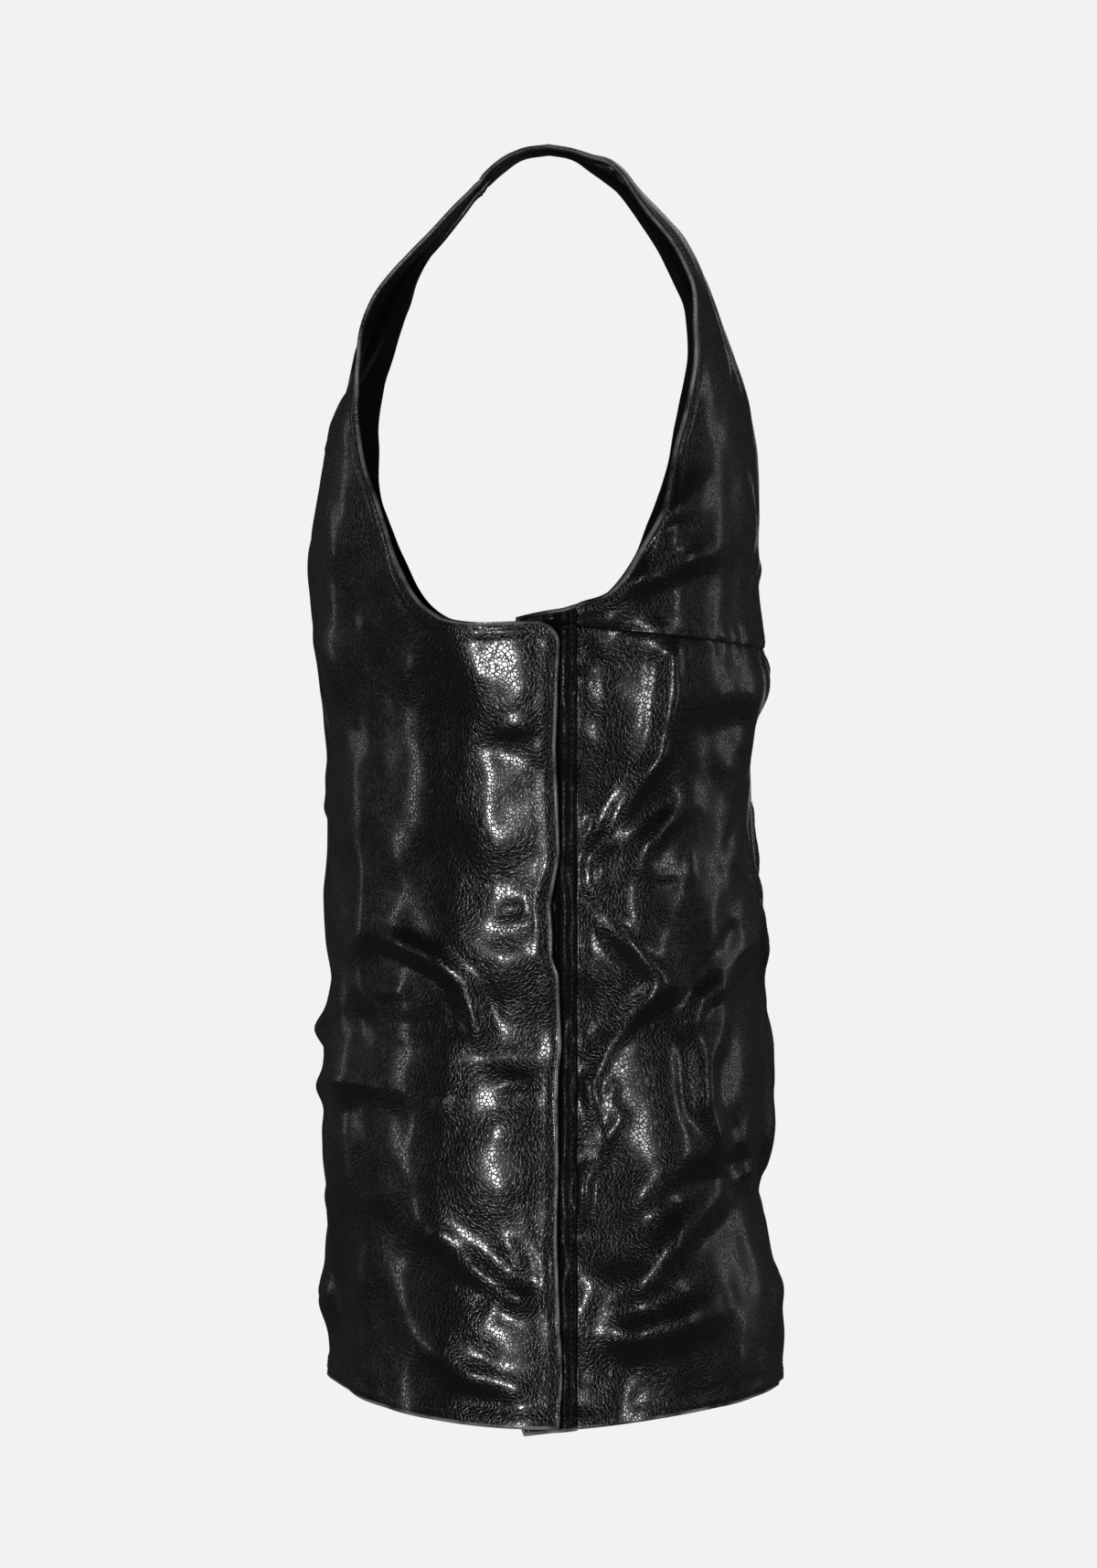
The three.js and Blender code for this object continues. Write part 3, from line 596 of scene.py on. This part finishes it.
def finishPanel(name, base, normal, faces, edge, insetAt, finished):
    count = len(base)
    rim = boundaryOf(faces, count)
    onRim = np.unique(rim)
    for key in ('edges', 'hem'):
        finished[key] = [ids[np.isin(ids, onRim)] for ids in finished[key]]
    beyond = np.zeros((count, 3))
    for i in (0, 1):
        np.add.at(beyond, rim[:, i], np.cross(base[rim[:, 1]] - base[rim[:, 0]], normal[rim[:, i]]))
    beyond = unit(beyond)
    edgeDistance, seamDistance, hemDistance = (
        distanceTo(base, [p for ids in finished[key] for p in samples(base[ids], spacing)])
        for key, spacing in (('edges', 0.5), ('seams', 1.0), ('hem', 1.0)))

    height = lift(base) + strapLift(base) - insetAt(base)
    calm = 1 - strapForm['calm'] * smooth(*strapForm['calmHeights'], base[:, 2])
    for size, length, seed in unevenness:
        height += size * waviness(base, length, seed) * calm
    height -= edges['seamDent'] * np.exp(-(seamDistance / edges['seamDentWidth']) ** 2)
    height += (edges['pucker'] * waviness(base, edges['puckerSize'], edges['puckerSeed'])
               * np.exp(-(seamDistance / edges['puckerReach']) ** 2))
    moved = base.copy()
    if name == 'front_panel':
        left = base[:, 0] > 0
        below = smooth(*frontEdge['below'], base[:, 2])
        near = smooth(frontEdge['reach'], body['sideY'], base[:, 1]) * left * below
        waver = np.interp(base[:, 2], frontEdge['z'], frontEdge['y']) - body['sideY']
        moved[:, 1] += waver * near
        pressed = sum(np.exp(-((base[:, 2] - z) / frontEdge['buttonReach']) ** 2)
                      for z in frontEdge['buttons'])
        apart = frontEdge['standsOff']
        height += near * (apart - (apart + frontEdge['pressedIn']) * pressed)
    nearHem = hemDistance < edgeDistance + edges['hemNearer']
    stitchAt = np.where(nearHem, edges['hemStitch'], edges['edgeStitch'])
    thick = (edges['raised'] * (1 - smooth(*edges['raisedTo'], edgeDistance))
             - edges['groove'] * np.exp(-((edgeDistance - stitchAt) / edges['grooveWidth']) ** 2))

    outer = moved + normal * (height + thick)[:, None]
    inner = moved + normal * (height - body['wall'])[:, None]
    middle = (outer + inner) / 2 + beyond * edges['bulge']
    drawn = np.zeros((count, 1))
    drawn[onRim] = edges['pullIn']
    outer -= beyond * drawn
    inner -= beyond * drawn

    slot = np.full(count, -1)
    slot[onRim] = np.arange(len(onRim)) + 2 * count
    points = np.vstack([outer, inner, middle[onRim]])
    polygons = [faces, faces[:, ::-1] + count]
    f, t = rim.T
    polygons.append(np.stack([f, slot[f], slot[t], t], axis=1))
    polygons.append(np.stack([slot[f], f + count, t + count, slot[t]], axis=1))
    lined = np.repeat([0, 1, 0, 0], [len(part) for part in polygons])
    polygons = np.vstack(polygons)
    values = {
        'edgeDistance': np.concatenate([edgeDistance, edgeDistance, edgeDistance[onRim]]),
        'dullness': np.repeat([0, 1, 0], [count, count, len(onRim)]),
    }
    piece, lined = meshPiece(name + '_leather', points, polygons, values, lined)
    tree = BVHTree.FromPolygons([tuple(p) for p in outer], [tuple(dict.fromkeys(q)) for q in faces.tolist()])
    return {'piece': piece, 'outer': outer, 'beyond': beyond, 'edge': edge, 'tree': tree,
            'finished': finished, 'lined': lined}


def addObject(name, data):
    obj = bpy.data.objects.new(name, data)
    bpy.context.scene.collection.objects.link(obj)
    return obj


def meshPiece(name, points, polygons, values, lined):
    mesh = bpy.data.meshes.new(name)
    clean = [(list(dict.fromkeys(q)), part) for q, part in zip(polygons.tolist(), lined.tolist())]
    clean = [(q, part) for q, part in clean if len(q) > 2]
    mesh.from_pydata((points * metre).tolist(), [], [q for q, _ in clean])
    for key, value in values.items():
        layer = mesh.attributes.new(key, 'FLOAT', 'POINT')
        layer.data.foreach_set('value', np.asarray(value, np.float32))
    mesh.polygons.foreach_set('use_smooth', np.ones(len(mesh.polygons), bool))
    mesh.update()
    return addObject(name, mesh), [part for _, part in clean]


# How a cut line runs down the profile, from its inner to its outer end.
def frontSlope(u):
    return smooth(0, 1, u)


def backSlope(u):
    return u ** 1.4


def straight(u):
    return u


# How far each panel lies inside the form.
def thinAtShoulder(p):
    return body['shoulderDip'] * smooth(*body['shoulderDipHeights'], p[:, 2])


def underFront(p):
    away = (p[:, 2] - body['yokeSeamAt']) / edges['crossSeamWidth']
    crossSeam = edges['seamDent'] * edges['crossSeamShare'] * np.exp(-away ** 2)
    return body['lap'] + crossSeam + body['standDrop'] * smooth(*body['standDropOver'], p[:, 1])


def besideStand(p):
    depth = body['lap'] * (1 - smooth(*body['recess'], p[:, 1])) * smooth(*body['recessTop'], p[:, 2])
    return np.where(p[:, 0] > 0, depth, 0)


def belowYoke(p):
    return besideStand(p) + body['yokeStep'] * smooth(*body['yokeStepHeights'], p[:, 2])


# Keys count the cut lines of a panel. At these the armhole and the neck end.
footKey = {'front': 5, 'yoke': 16}
neckKey = {'front': 16, 'yoke': 6}


# The finished edges, hems and seams of each panel, as points along its rim.
def whole(left, right):
    return np.concatenate([right[::-1], left])


def frontEdges(e):
    armhole = e['outerRight'][e['keysRight'] > footKey['front']]
    neckEdge = whole(*(e['inner' + h][e['keys' + h] >= neckKey['front']] for h in ('Left', 'Right')))
    hem = whole(e['firstLeft'], e['firstRight'])
    return {'edges': [e['outerLeft'], armhole, neckEdge, hem], 'hem': [hem],
            'seams': [e['lastLeft'], e['lastRight'], e['outerRight'][e['keysRight'] <= footKey['front']]]}


def yokeEdges(e):
    armholes = [e['outer' + h][e['keys' + h] <= footKey['yoke']] for h in ('Left', 'Right')]
    sides = [e['outer' + h][e['keys' + h] >= footKey['yoke']] for h in ('Left', 'Right')]
    neckEdge = whole(*(e['inner' + h][e['keys' + h] <= neckKey['yoke']][::-1] for h in ('Left', 'Right')))
    return {'edges': [*armholes, neckEdge], 'hem': [],
            'seams': [e['firstLeft'], e['firstRight'], whole(e['lastLeft'], e['lastRight']), *sides]}


def backEdges(e):
    hem = whole(e['lastLeft'], e['lastRight'])
    return {'edges': [hem], 'hem': [hem],
            'seams': [whole(e['firstLeft'], e['firstRight']), e['outerLeft'], e['outerRight']]}


def standEdges(e):
    return {'edges': [e['firstLeft'], e['lastLeft'], e['innerLeft']], 'hem': [e['lastLeft']],
            'seams': [e['outerLeft']]}


gap, sideY, standSeam = body['seamGap'], body['sideY'], body['standSeam']
plain = ((), ())
# Each half: its cut lines, whether it's the right one, and the keys at which its two rims turn sharply.
halves = {
    'front': [(frontLines(sideY, leftFoot), False, plain),
              (frontLines(sideY - gap / 2, rightFoot), True, ((), (footKey['front'],)))],
    'yoke': [(yokeLines(standSeam, leftFoot), False, ((neckKey['yoke'],), ())),
             (yokeLines(sideY + gap / 2, rightFoot), True, ((neckKey['yoke'],), (footKey['yoke'],)))],
    'back': [(backLines(standSeam), False, plain), (backLines(sideY + gap / 2), True, plain)],
    'stand': [(standLines(standSeam - gap), False, plain)],
}
# The numbers are columns and the size of a cell.
panels = {
    'front': buildPanel('front_panel', halves['front'], thinAtShoulder, frontEdges, (82, frontSlope, 3.0)),
    'yoke': buildPanel('back_yoke', halves['yoke'], besideStand, yokeEdges, (74, backSlope, 3.0)),
    'back': buildPanel('back_panel', halves['back'], belowYoke, backEdges, (82, backSlope, 3.0)),
    'stand': buildPanel('button_stand', halves['stand'], underFront, standEdges, (14, straight, 1.3)),
}


# An output of a node that can be used in sums.
class Term:
    def __init__(self, finish, socket):
        self.finish = finish
        self.socket = socket

    def calc(self, operation, first, second):
        return self.finish.add('ShaderNodeMath', {'operation': operation}, {0: first, 1: second})

    def __add__(self, other):
        return self.calc('ADD', self, other)

    def __sub__(self, other):
        return self.calc('SUBTRACT', self, other)

    def __rsub__(self, other):
        return self.calc('SUBTRACT', other, self)

    def __mul__(self, other):
        return self.calc('MULTIPLY', self, other)

    __radd__, __rmul__ = __add__, __mul__


class Finish:
    def __init__(self, tree):
        self.tree = tree
        tree.nodes.clear()

    def add(self, kind, settings=None, inputs=None, out=0):
        node = self.tree.nodes.new(kind)
        for key, value in (settings or {}).items():
            setattr(node, key, value)
        for key, value in (inputs or {}).items():
            if isinstance(value, Term):
                self.tree.links.new(value.socket, node.inputs[key])
            else:
                node.inputs[key].default_value = value
        return Term(self, node.outputs[out]) if len(node.outputs) else node

    def noise(self, place, look, out=0):
        return self.add('ShaderNodeTexNoise', {}, {'Vector': place, **look}, out)

    def between(self, low, high, value):
        return self.add('ShaderNodeMapRange', {'interpolation_type': 'SMOOTHSTEP'},
                        {'Value': value, 'From Min': low, 'From Max': high, 'To Min': 0.0, 'To Max': 1.0})

    def blend(self, colourA, colourB, factor):
        return self.add('ShaderNodeMix', {'data_type': 'RGBA'}, {0: factor, 6: colourA, 7: colourB}, out=2)

    def surface(self, look):
        shader = self.add('ShaderNodeBsdfPrincipled', {}, look)
        self.add('ShaderNodeOutputMaterial', {}, {'Surface': shader})


def newMaterial(name, colour):
    material = bpy.data.materials.new(name)
    material.use_nodes = True
    material.diffuse_color = colour
    return material, Finish(material.node_tree)


leather = {
    # worn is a lighter tone at the finished edges: partly real wear, partly a painted highlight of the
    # glinting edge
    'face': (0.0040, 0.0038, 0.0036, 1), 'worn': (0.0085, 0.0080, 0.0074, 1),
    'facing': (0.0075, 0.0074, 0.0072, 1), 'lining': (0.0020, 0.0020, 0.0021, 1),
    # glint is the colour of a painted highlight along the finished edges
    'glint': (0.18, 0.178, 0.172, 1),
    'facingEdge': (26.0, 24.0), 'wornEdge': (2.5, 0.3), 'glintEdge': (1.7, 0.7), 'glintWhere': (0.3, 0.62),
    'patches': {'Scale': 22.0, 'Detail': 3.0},
    'wrinkles': {'Scale': 95.0, 'Detail': 4.0, 'Roughness': 0.55, 'Distortion': 0.6},
    'fine': {'Scale': 1500.0, 'Detail': 1.0},
    'bend': {'Scale': 260.0, 'Detail': 1.0}, 'bendSize': 0.0016,
    'along': {'Scale': 60.0, 'Detail': 3.0},
    'pebbles': 520.0, 'crack': 0.15, 'pebbleDepth': 0.00005, 'fineShare': 0.12, 'wrinkleShare': 1.3,
    'bump': 0.9, 'patchShare': 0.55, 'wornShare': 0.5, 'ior': 1.5,
    'roughness': 0.165, 'roughnessSpread': 0.08, 'crackRoughness': 0.2, 'insideRoughness': 0.25,
}


def leatherFinish(name, gloss, matt=0.0):
    material, f = newMaterial(name, leather['face'])
    place = f.add('ShaderNodeTexCoord', out='Object')
    inside = f.add('ShaderNodeAttribute', {'attribute_name': 'dullness'}, out='Fac')
    edge = f.add('ShaderNodeAttribute', {'attribute_name': 'edgeDistance'}, out='Fac')
    outside = 1 - inside
    patches = f.noise(place, leather['patches'])
    wrinkles = f.noise(place, leather['wrinkles'])
    fine = f.noise(place, leather['fine'])
    bend = f.add('ShaderNodeVectorMath', {'operation': 'SCALE'},
                 {0: f.noise(place, leather['bend'], out='Color'), 'Scale': leather['bendSize']})
    bent = f.add('ShaderNodeVectorMath', {'operation': 'ADD'}, {0: place, 1: bend})
    cell = f.add('ShaderNodeTexVoronoi', {'feature': 'DISTANCE_TO_EDGE'},
                 {'Vector': bent, 'Scale': leather['pebbles']})
    pebble = f.between(0.0, leather['crack'], cell)
    # Lighter near the finished edges: partly real wear, partly a painted highlight of the glinting edge
    worn = f.between(*leather['wornEdge'], edge) * outside
    along = f.noise(place, leather['along'])
    # A painted highlight: a light line along the finished edges, broken up along them by noise
    glint = f.between(*leather['glintEdge'], edge) * outside * f.between(*leather['glintWhere'], along)
    facing = f.between(*leather['facingEdge'], edge)
    wearAndHighlight = leather['patchShare'] * patches + worn * leather['wornShare']
    outerColour = f.blend(f.blend(leather['face'], leather['worn'], wearAndHighlight), leather['glint'], glint)
    innerColour = f.blend(leather['lining'], leather['facing'], facing)
    colour = f.blend(outerColour, innerColour, inside)
    roughness = (leather['roughness'] - leather['roughnessSpread'] / 2) + patches * leather['roughnessSpread']
    roughness = (roughness + matt + inside * leather['insideRoughness']
                 + (1 - pebble) * outside * leather['crackRoughness'])
    height = pebble * outside + fine * leather['fineShare'] + wrinkles * leather['wrinkleShare'] * outside
    bump = f.add('ShaderNodeBump', {},
                 {'Height': height, 'Strength': leather['bump'], 'Distance': leather['pebbleDepth']})
    f.surface({'Base Color': colour, 'Roughness': roughness, 'Normal': bump, 'IOR': leather['ior'],
               'Specular IOR Level': gloss})
    return material


thread = {
    # lit: the thread is lighter in spots along its twist, painted highlights on the thread
    'dark': (0.012, 0.012, 0.012, 1), 'lit': (0.050, 0.048, 0.046, 1),
    'twist': {'Scale': 2600.0, 'Detail': 2.0}, 'bump': 0.6, 'depth': 0.0001,
    'roughness': 0.38, 'roughnessSpread': 0.2,
}


def threadFinish():
    material, f = newMaterial('black_thread', thread['dark'])
    place = f.add('ShaderNodeTexCoord', out='Object')
    twist = f.noise(place, thread['twist'])
    colour = f.blend(thread['dark'], thread['lit'], twist)
    bump = f.add('ShaderNodeBump', {},
                 {'Height': twist, 'Strength': thread['bump'], 'Distance': thread['depth']})
    roughness = twist * thread['roughnessSpread'] + thread['roughness']
    f.surface({'Base Color': colour, 'Roughness': roughness, 'Normal': bump})
    return material


leatherMaterial = leatherFinish('black_pebbled_leather', 0.6)
shadedStandMaterial = leatherFinish('black_leather_painted_shade', 0.09, 0.02)  # the same leather, less glossy and rougher: painted shade for the shadow of the front on the stand
liningMaterial = leatherFinish('black_lining', 0.1, 0.2)
threadMaterial = threadFinish()
for key, panel in panels.items():
    mesh = panel['piece'].data
    mesh.materials.append(shadedStandMaterial if key == 'stand' else leatherMaterial)
    mesh.materials.append(liningMaterial)
    mesh.polygons.foreach_set('material_index', panel['lined'])
print('materials made')


# Stitches are beads of thread along a line.
stitch = {
    'pitch': 3.2, 'along': 2.5, 'across': 0.55, 'thickness': 0.44, 'jitter': 0.06, 'seed': 1,
    'raised': 0.12, 'smoothing': 2,
}
bead = {'Segments': 8, 'Rings': 5, 'Radius': 0.5}


def stitchTree():
    tree = bpy.data.node_groups.new('stitch_row', 'GeometryNodeTree')
    g = Finish(tree)
    kinds = dict.fromkeys(('Pitch', 'Along', 'Across', 'Thickness', 'Jitter'), 'Float')
    for name, kind in {'Geometry': 'Geometry', **kinds, 'Seed': 'Int', 'Thread': 'Material'}.items():
        tree.interface.new_socket(name, in_out='INPUT', socket_type='NodeSocket' + kind)
    tree.interface.new_socket('Geometry', in_out='OUTPUT', socket_type='NodeSocketGeometry')
    given = tree.nodes.new('NodeGroupInput')
    take = {s.name: Term(g, s) for s in given.outputs if s.name}
    line = g.add('GeometryNodeMeshToCurve', {}, {'Mesh': take['Geometry']})
    spaced = g.add('GeometryNodeResampleCurve', {'mode': 'LENGTH'}, {'Curve': line, 'Length': take['Pitch']})
    along = g.add('GeometryNodeInputTangent')
    outward = g.add('GeometryNodeInputNamedAttribute', {'data_type': 'FLOAT_VECTOR'}, {'Name': 'outward'})
    turned = g.add('FunctionNodeAlignRotationToVector', {'axis': 'X'}, {'Vector': along})
    turned = g.add('FunctionNodeAlignRotationToVector', {'axis': 'Z', 'pivot_axis': 'X'},
                   {'Rotation': turned, 'Vector': outward})
    vary = g.add('FunctionNodeRandomValue', {'data_type': 'FLOAT'},
                 {2: 1 - take['Jitter'], 3: 1 + take['Jitter'], 'Seed': take['Seed']}, out=1)
    size = g.add('ShaderNodeCombineXYZ', {},
                 {'X': take['Along'] * vary, 'Y': take['Across'] * vary, 'Z': take['Thickness']})
    ball = g.add('GeometryNodeMeshUVSphere', {}, bead)
    placed = g.add('GeometryNodeInstanceOnPoints', {},
                   {'Points': spaced, 'Instance': ball, 'Rotation': turned, 'Scale': size})
    real = g.add('GeometryNodeRealizeInstances', {}, {'Geometry': placed})
    soft = g.add('GeometryNodeSetShadeSmooth', {}, {'Geometry': real})
    done = g.add('GeometryNodeSetMaterial', {}, {'Geometry': soft, 'Material': take['Thread']})
    g.add('NodeGroupOutput', {}, {'Geometry': done})
    return tree


rowTree = stitchTree()


def stitchPiece(name, lines, sizes):
    points, outward, links = [], [], []
    for path, normals in lines:
        start = len(points)
        points.extend(path)
        outward.extend(normals)
        links.extend((start + i, start + i + 1) for i in range(len(path) - 1))
    mesh = bpy.data.meshes.new(name + '_line')
    mesh.from_pydata((np.array(points) * metre).tolist(), links, [])
    mesh.attributes.new('outward', 'FLOAT_VECTOR', 'POINT').data.foreach_set(
        'vector', np.array(outward, np.float32).ravel())
    lineObject = addObject(name + '_line', mesh)
    modifier = lineObject.modifiers.new('stitches', 'NODES')
    modifier.node_group = rowTree
    values = {key.capitalize(): sizes[key] * metre for key in ('pitch', 'along', 'across', 'thickness')}
    values.update({'Jitter': sizes['jitter'], 'Seed': sizes['seed'], 'Thread': threadMaterial})
    for socket in rowTree.interface.items_tree:
        if socket.in_out == 'INPUT' and socket.name in values:
            modifier[socket.identifier] = values[socket.name]
    bpy.context.view_layer.update()
    graph = bpy.context.evaluated_depsgraph_get()
    made = bpy.data.meshes.new_from_object(lineObject.evaluated_get(graph))
    bpy.data.objects.remove(lineObject)
    print(name, len(made.polygons), 'faces')
    return addObject(name, made)


# Thread lies a little above the places hit on a panel.
def threadPath(hits, raised):
    path, normals = (np.array([hit[i] for hit in hits]) for i in (0, 1))
    return path + normals * raised, normals


# A line beside an edge, laid back onto the panel's surface.
def beside(panel, ids, distance):
    ids = list(dict.fromkeys(ids.tolist()))[1:-1]
    goals = panel['outer'][ids] - panel['beyond'][ids] * distance
    hits = [panel['tree'].find_nearest(Vector(goal)) for goal in goals]
    path, normals = threadPath(hits, stitch['raised'])
    for _ in range(stitch['smoothing']):
        path[1:-1] = (path[:-2] + 2 * path[1:-1] + path[2:]) / 4
    return path, normals


def edgeRows(panel):
    hem = [set(h.tolist()) for h in panel['finished']['hem']]
    lines = []
    for ids in panel['finished']['edges']:
        isHem = set(ids.tolist()) in hem
        lines.append(beside(panel, ids, edges['hemStitch'] if isHem else edges['edgeStitch']))
    return lines


rows = {key: edgeRows(panels[key]) for key in ('front', 'yoke', 'back')}
rows['stand'] = []
for key in ('back', 'stand'):
    rows[key].append(beside(panels[key], panels[key]['edge']['outerLeft'], edges['seamStitch']))
stitches = {key: stitchPiece(key + '_stitches', lines, stitch) for key, lines in rows.items()}


# Each buttonhole is sewn shut with zigzag stitches, which show as two staggered rows along its slit.
buttonhole = {
    'from': -27.5, 'to': -7.4, 'rowsApart': 1.7, 'step': 1.5, 'raised': 0.12, 'seenFrom': 190,
    'pitch': 2.05, 'along': 1.2, 'across': 1.3, 'thickness': 0.6, 'jitter': 0.12, 'seed': 4,
}


def buttonholeLines():
    lines, front = [], panels['front']['tree']
    places = np.arange(buttonhole['from'], buttonhole['to'], buttonhole['step'])
    shifted = np.arange(buttonhole['from'] + buttonhole['pitch'] / 2, buttonhole['to'], buttonhole['step'])
    for z in frontEdge['buttons']:
        for row, offset in ((shifted, -0.5), (places, 0.5)):
            starts = [(buttonhole['seenFrom'], y, z + offset * buttonhole['rowsApart']) for y in row]
            hits = [front.ray_cast(Vector(start), Vector((-1, 0, 0))) for start in starts]
            lines.append(threadPath(hits, buttonhole['raised']))
    return lines


stitches['buttonholes'] = stitchPiece('buttonholes', buttonholeLines(), buttonhole)


# Width and length of the leather that each panel is cut from, and the area of the cut, in metres.
cutting = {
    'front': {'node': 'front_panel', 'flat': (0.55, 0.70), 'area': 0.300, 'with': ['front', 'buttonholes']},
    'yoke': {'node': 'back_yoke', 'flat': (0.50, 0.34), 'area': 0.122, 'with': ['yoke']},
    'back': {'node': 'back_panel', 'flat': (0.52, 0.44), 'area': 0.214, 'with': ['back']},
    'stand': {'node': 'button_stand', 'flat': (0.042, 0.445), 'area': 0.0183, 'with': ['stand']},
}
for key, cut in cutting.items():
    piece = panels[key]['piece']
    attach(piece, 'root')
    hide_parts(cut['node'])
for piece in stitches.values():
    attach(piece, 'root')


camera = {'distance': 6.0, 'height': -0.2566, 'lookAt': -0.333, 'frameHeight': 0.8318, 'sensor': 36,
          'clip': (0.05, 60)}
studio = {'pale': 0.888, 'around': 0.025}
floorLook = {
    'height': -0.95, 'radius': 2.2, 'corners': 96, 'shown': (0.888, 0.888, 0.888, 1),
    'finish': {'Base Color': (0.8, 0.8, 0.8, 1), 'Roughness': 0.9, 'Specular IOR Level': 0.1,
               'Emission Color': (1, 1, 1, 1), 'Emission Strength': 0.7},
}
softboxes = [  # place, height of the place it's aimed at, width, height, watts
    ((5.3, -1.75, -0.18), -0.34, 0.5, 0.75, 74),
    ((4.2, 3.1, -0.1), -0.38, 0.42, 1.0, 34),
    ((0.3, -4.0, 0.1), -0.3, 0.35, 1.5, 8),
    ((0.3, 4.0, 0.1), -0.3, 0.35, 1.5, 7),
    ((-2.6, -3.1, 0.2), -0.3, 0.5, 1.6, 2.2),
    ((-2.6, 3.1, 0.2), -0.3, 0.5, 1.6, 2.2),
    ((-4.4, 0.4, 0.2), -0.3, 0.6, 1.6, 2),
    ((0.2, 0.2, 3.4), -0.3, 1.6, 1.6, 14),
]


def aim(obj, place, targetZ):
    obj.location = place
    obj.rotation_euler = (Vector((0, 0, targetZ)) - Vector(place)).to_track_quat('-Z', 'Y').to_euler()


def setUpCamera():
    data = bpy.data.cameras.new('camera')
    data.sensor_fit = 'AUTO'
    data.sensor_width = camera['sensor']
    data.lens = camera['sensor'] * camera['distance'] / camera['frameHeight']
    data.clip_start, data.clip_end = camera['clip']
    obj = addObject('camera', data)
    aim(obj, (camera['distance'], 0, camera['height']), camera['lookAt'])
    bpy.context.scene.camera = obj


def setUpStudio():
    world = bpy.data.worlds.new('studio')
    bpy.context.scene.world = world
    world.use_nodes = True
    w = Finish(world.node_tree)
    seen = w.add('ShaderNodeLightPath', out='Is Camera Ray')
    strength = seen * (studio['pale'] - studio['around']) + studio['around']
    glow = w.add('ShaderNodeBackground', {}, {'Color': (1, 1, 1, 1), 'Strength': strength})
    w.add('ShaderNodeOutputWorld', {}, {'Surface': glow})
    for i, (place, targetZ, width, height, watts) in enumerate(softboxes):
        data = bpy.data.lights.new('softbox%d' % i, 'AREA')
        data.shape = 'RECTANGLE'
        data.size, data.size_y = width, height
        data.energy = watts
        aim(addObject('softbox%d' % i, data), place, targetZ)
    bpy.context.scene.view_settings.view_transform = 'Standard'


def layFloor():
    mesh = bpy.data.meshes.new('floor')
    count, radius = floorLook['corners'], floorLook['radius']
    turns = [2 * math.pi * i / count for i in range(count)]
    mesh.from_pydata([(radius * math.cos(a), radius * math.sin(a), floorLook['height']) for a in turns],
                     [], [list(range(count))])
    floor = addObject('floor', mesh)
    material, f = newMaterial('pale_floor', floorLook['shown'])
    f.surface(floorLook['finish'])
    mesh.materials.append(material)
    floor.visible_glossy = False  # the leather doesn't mirror the floor


setUpCamera()
setUpStudio()
layFloor()
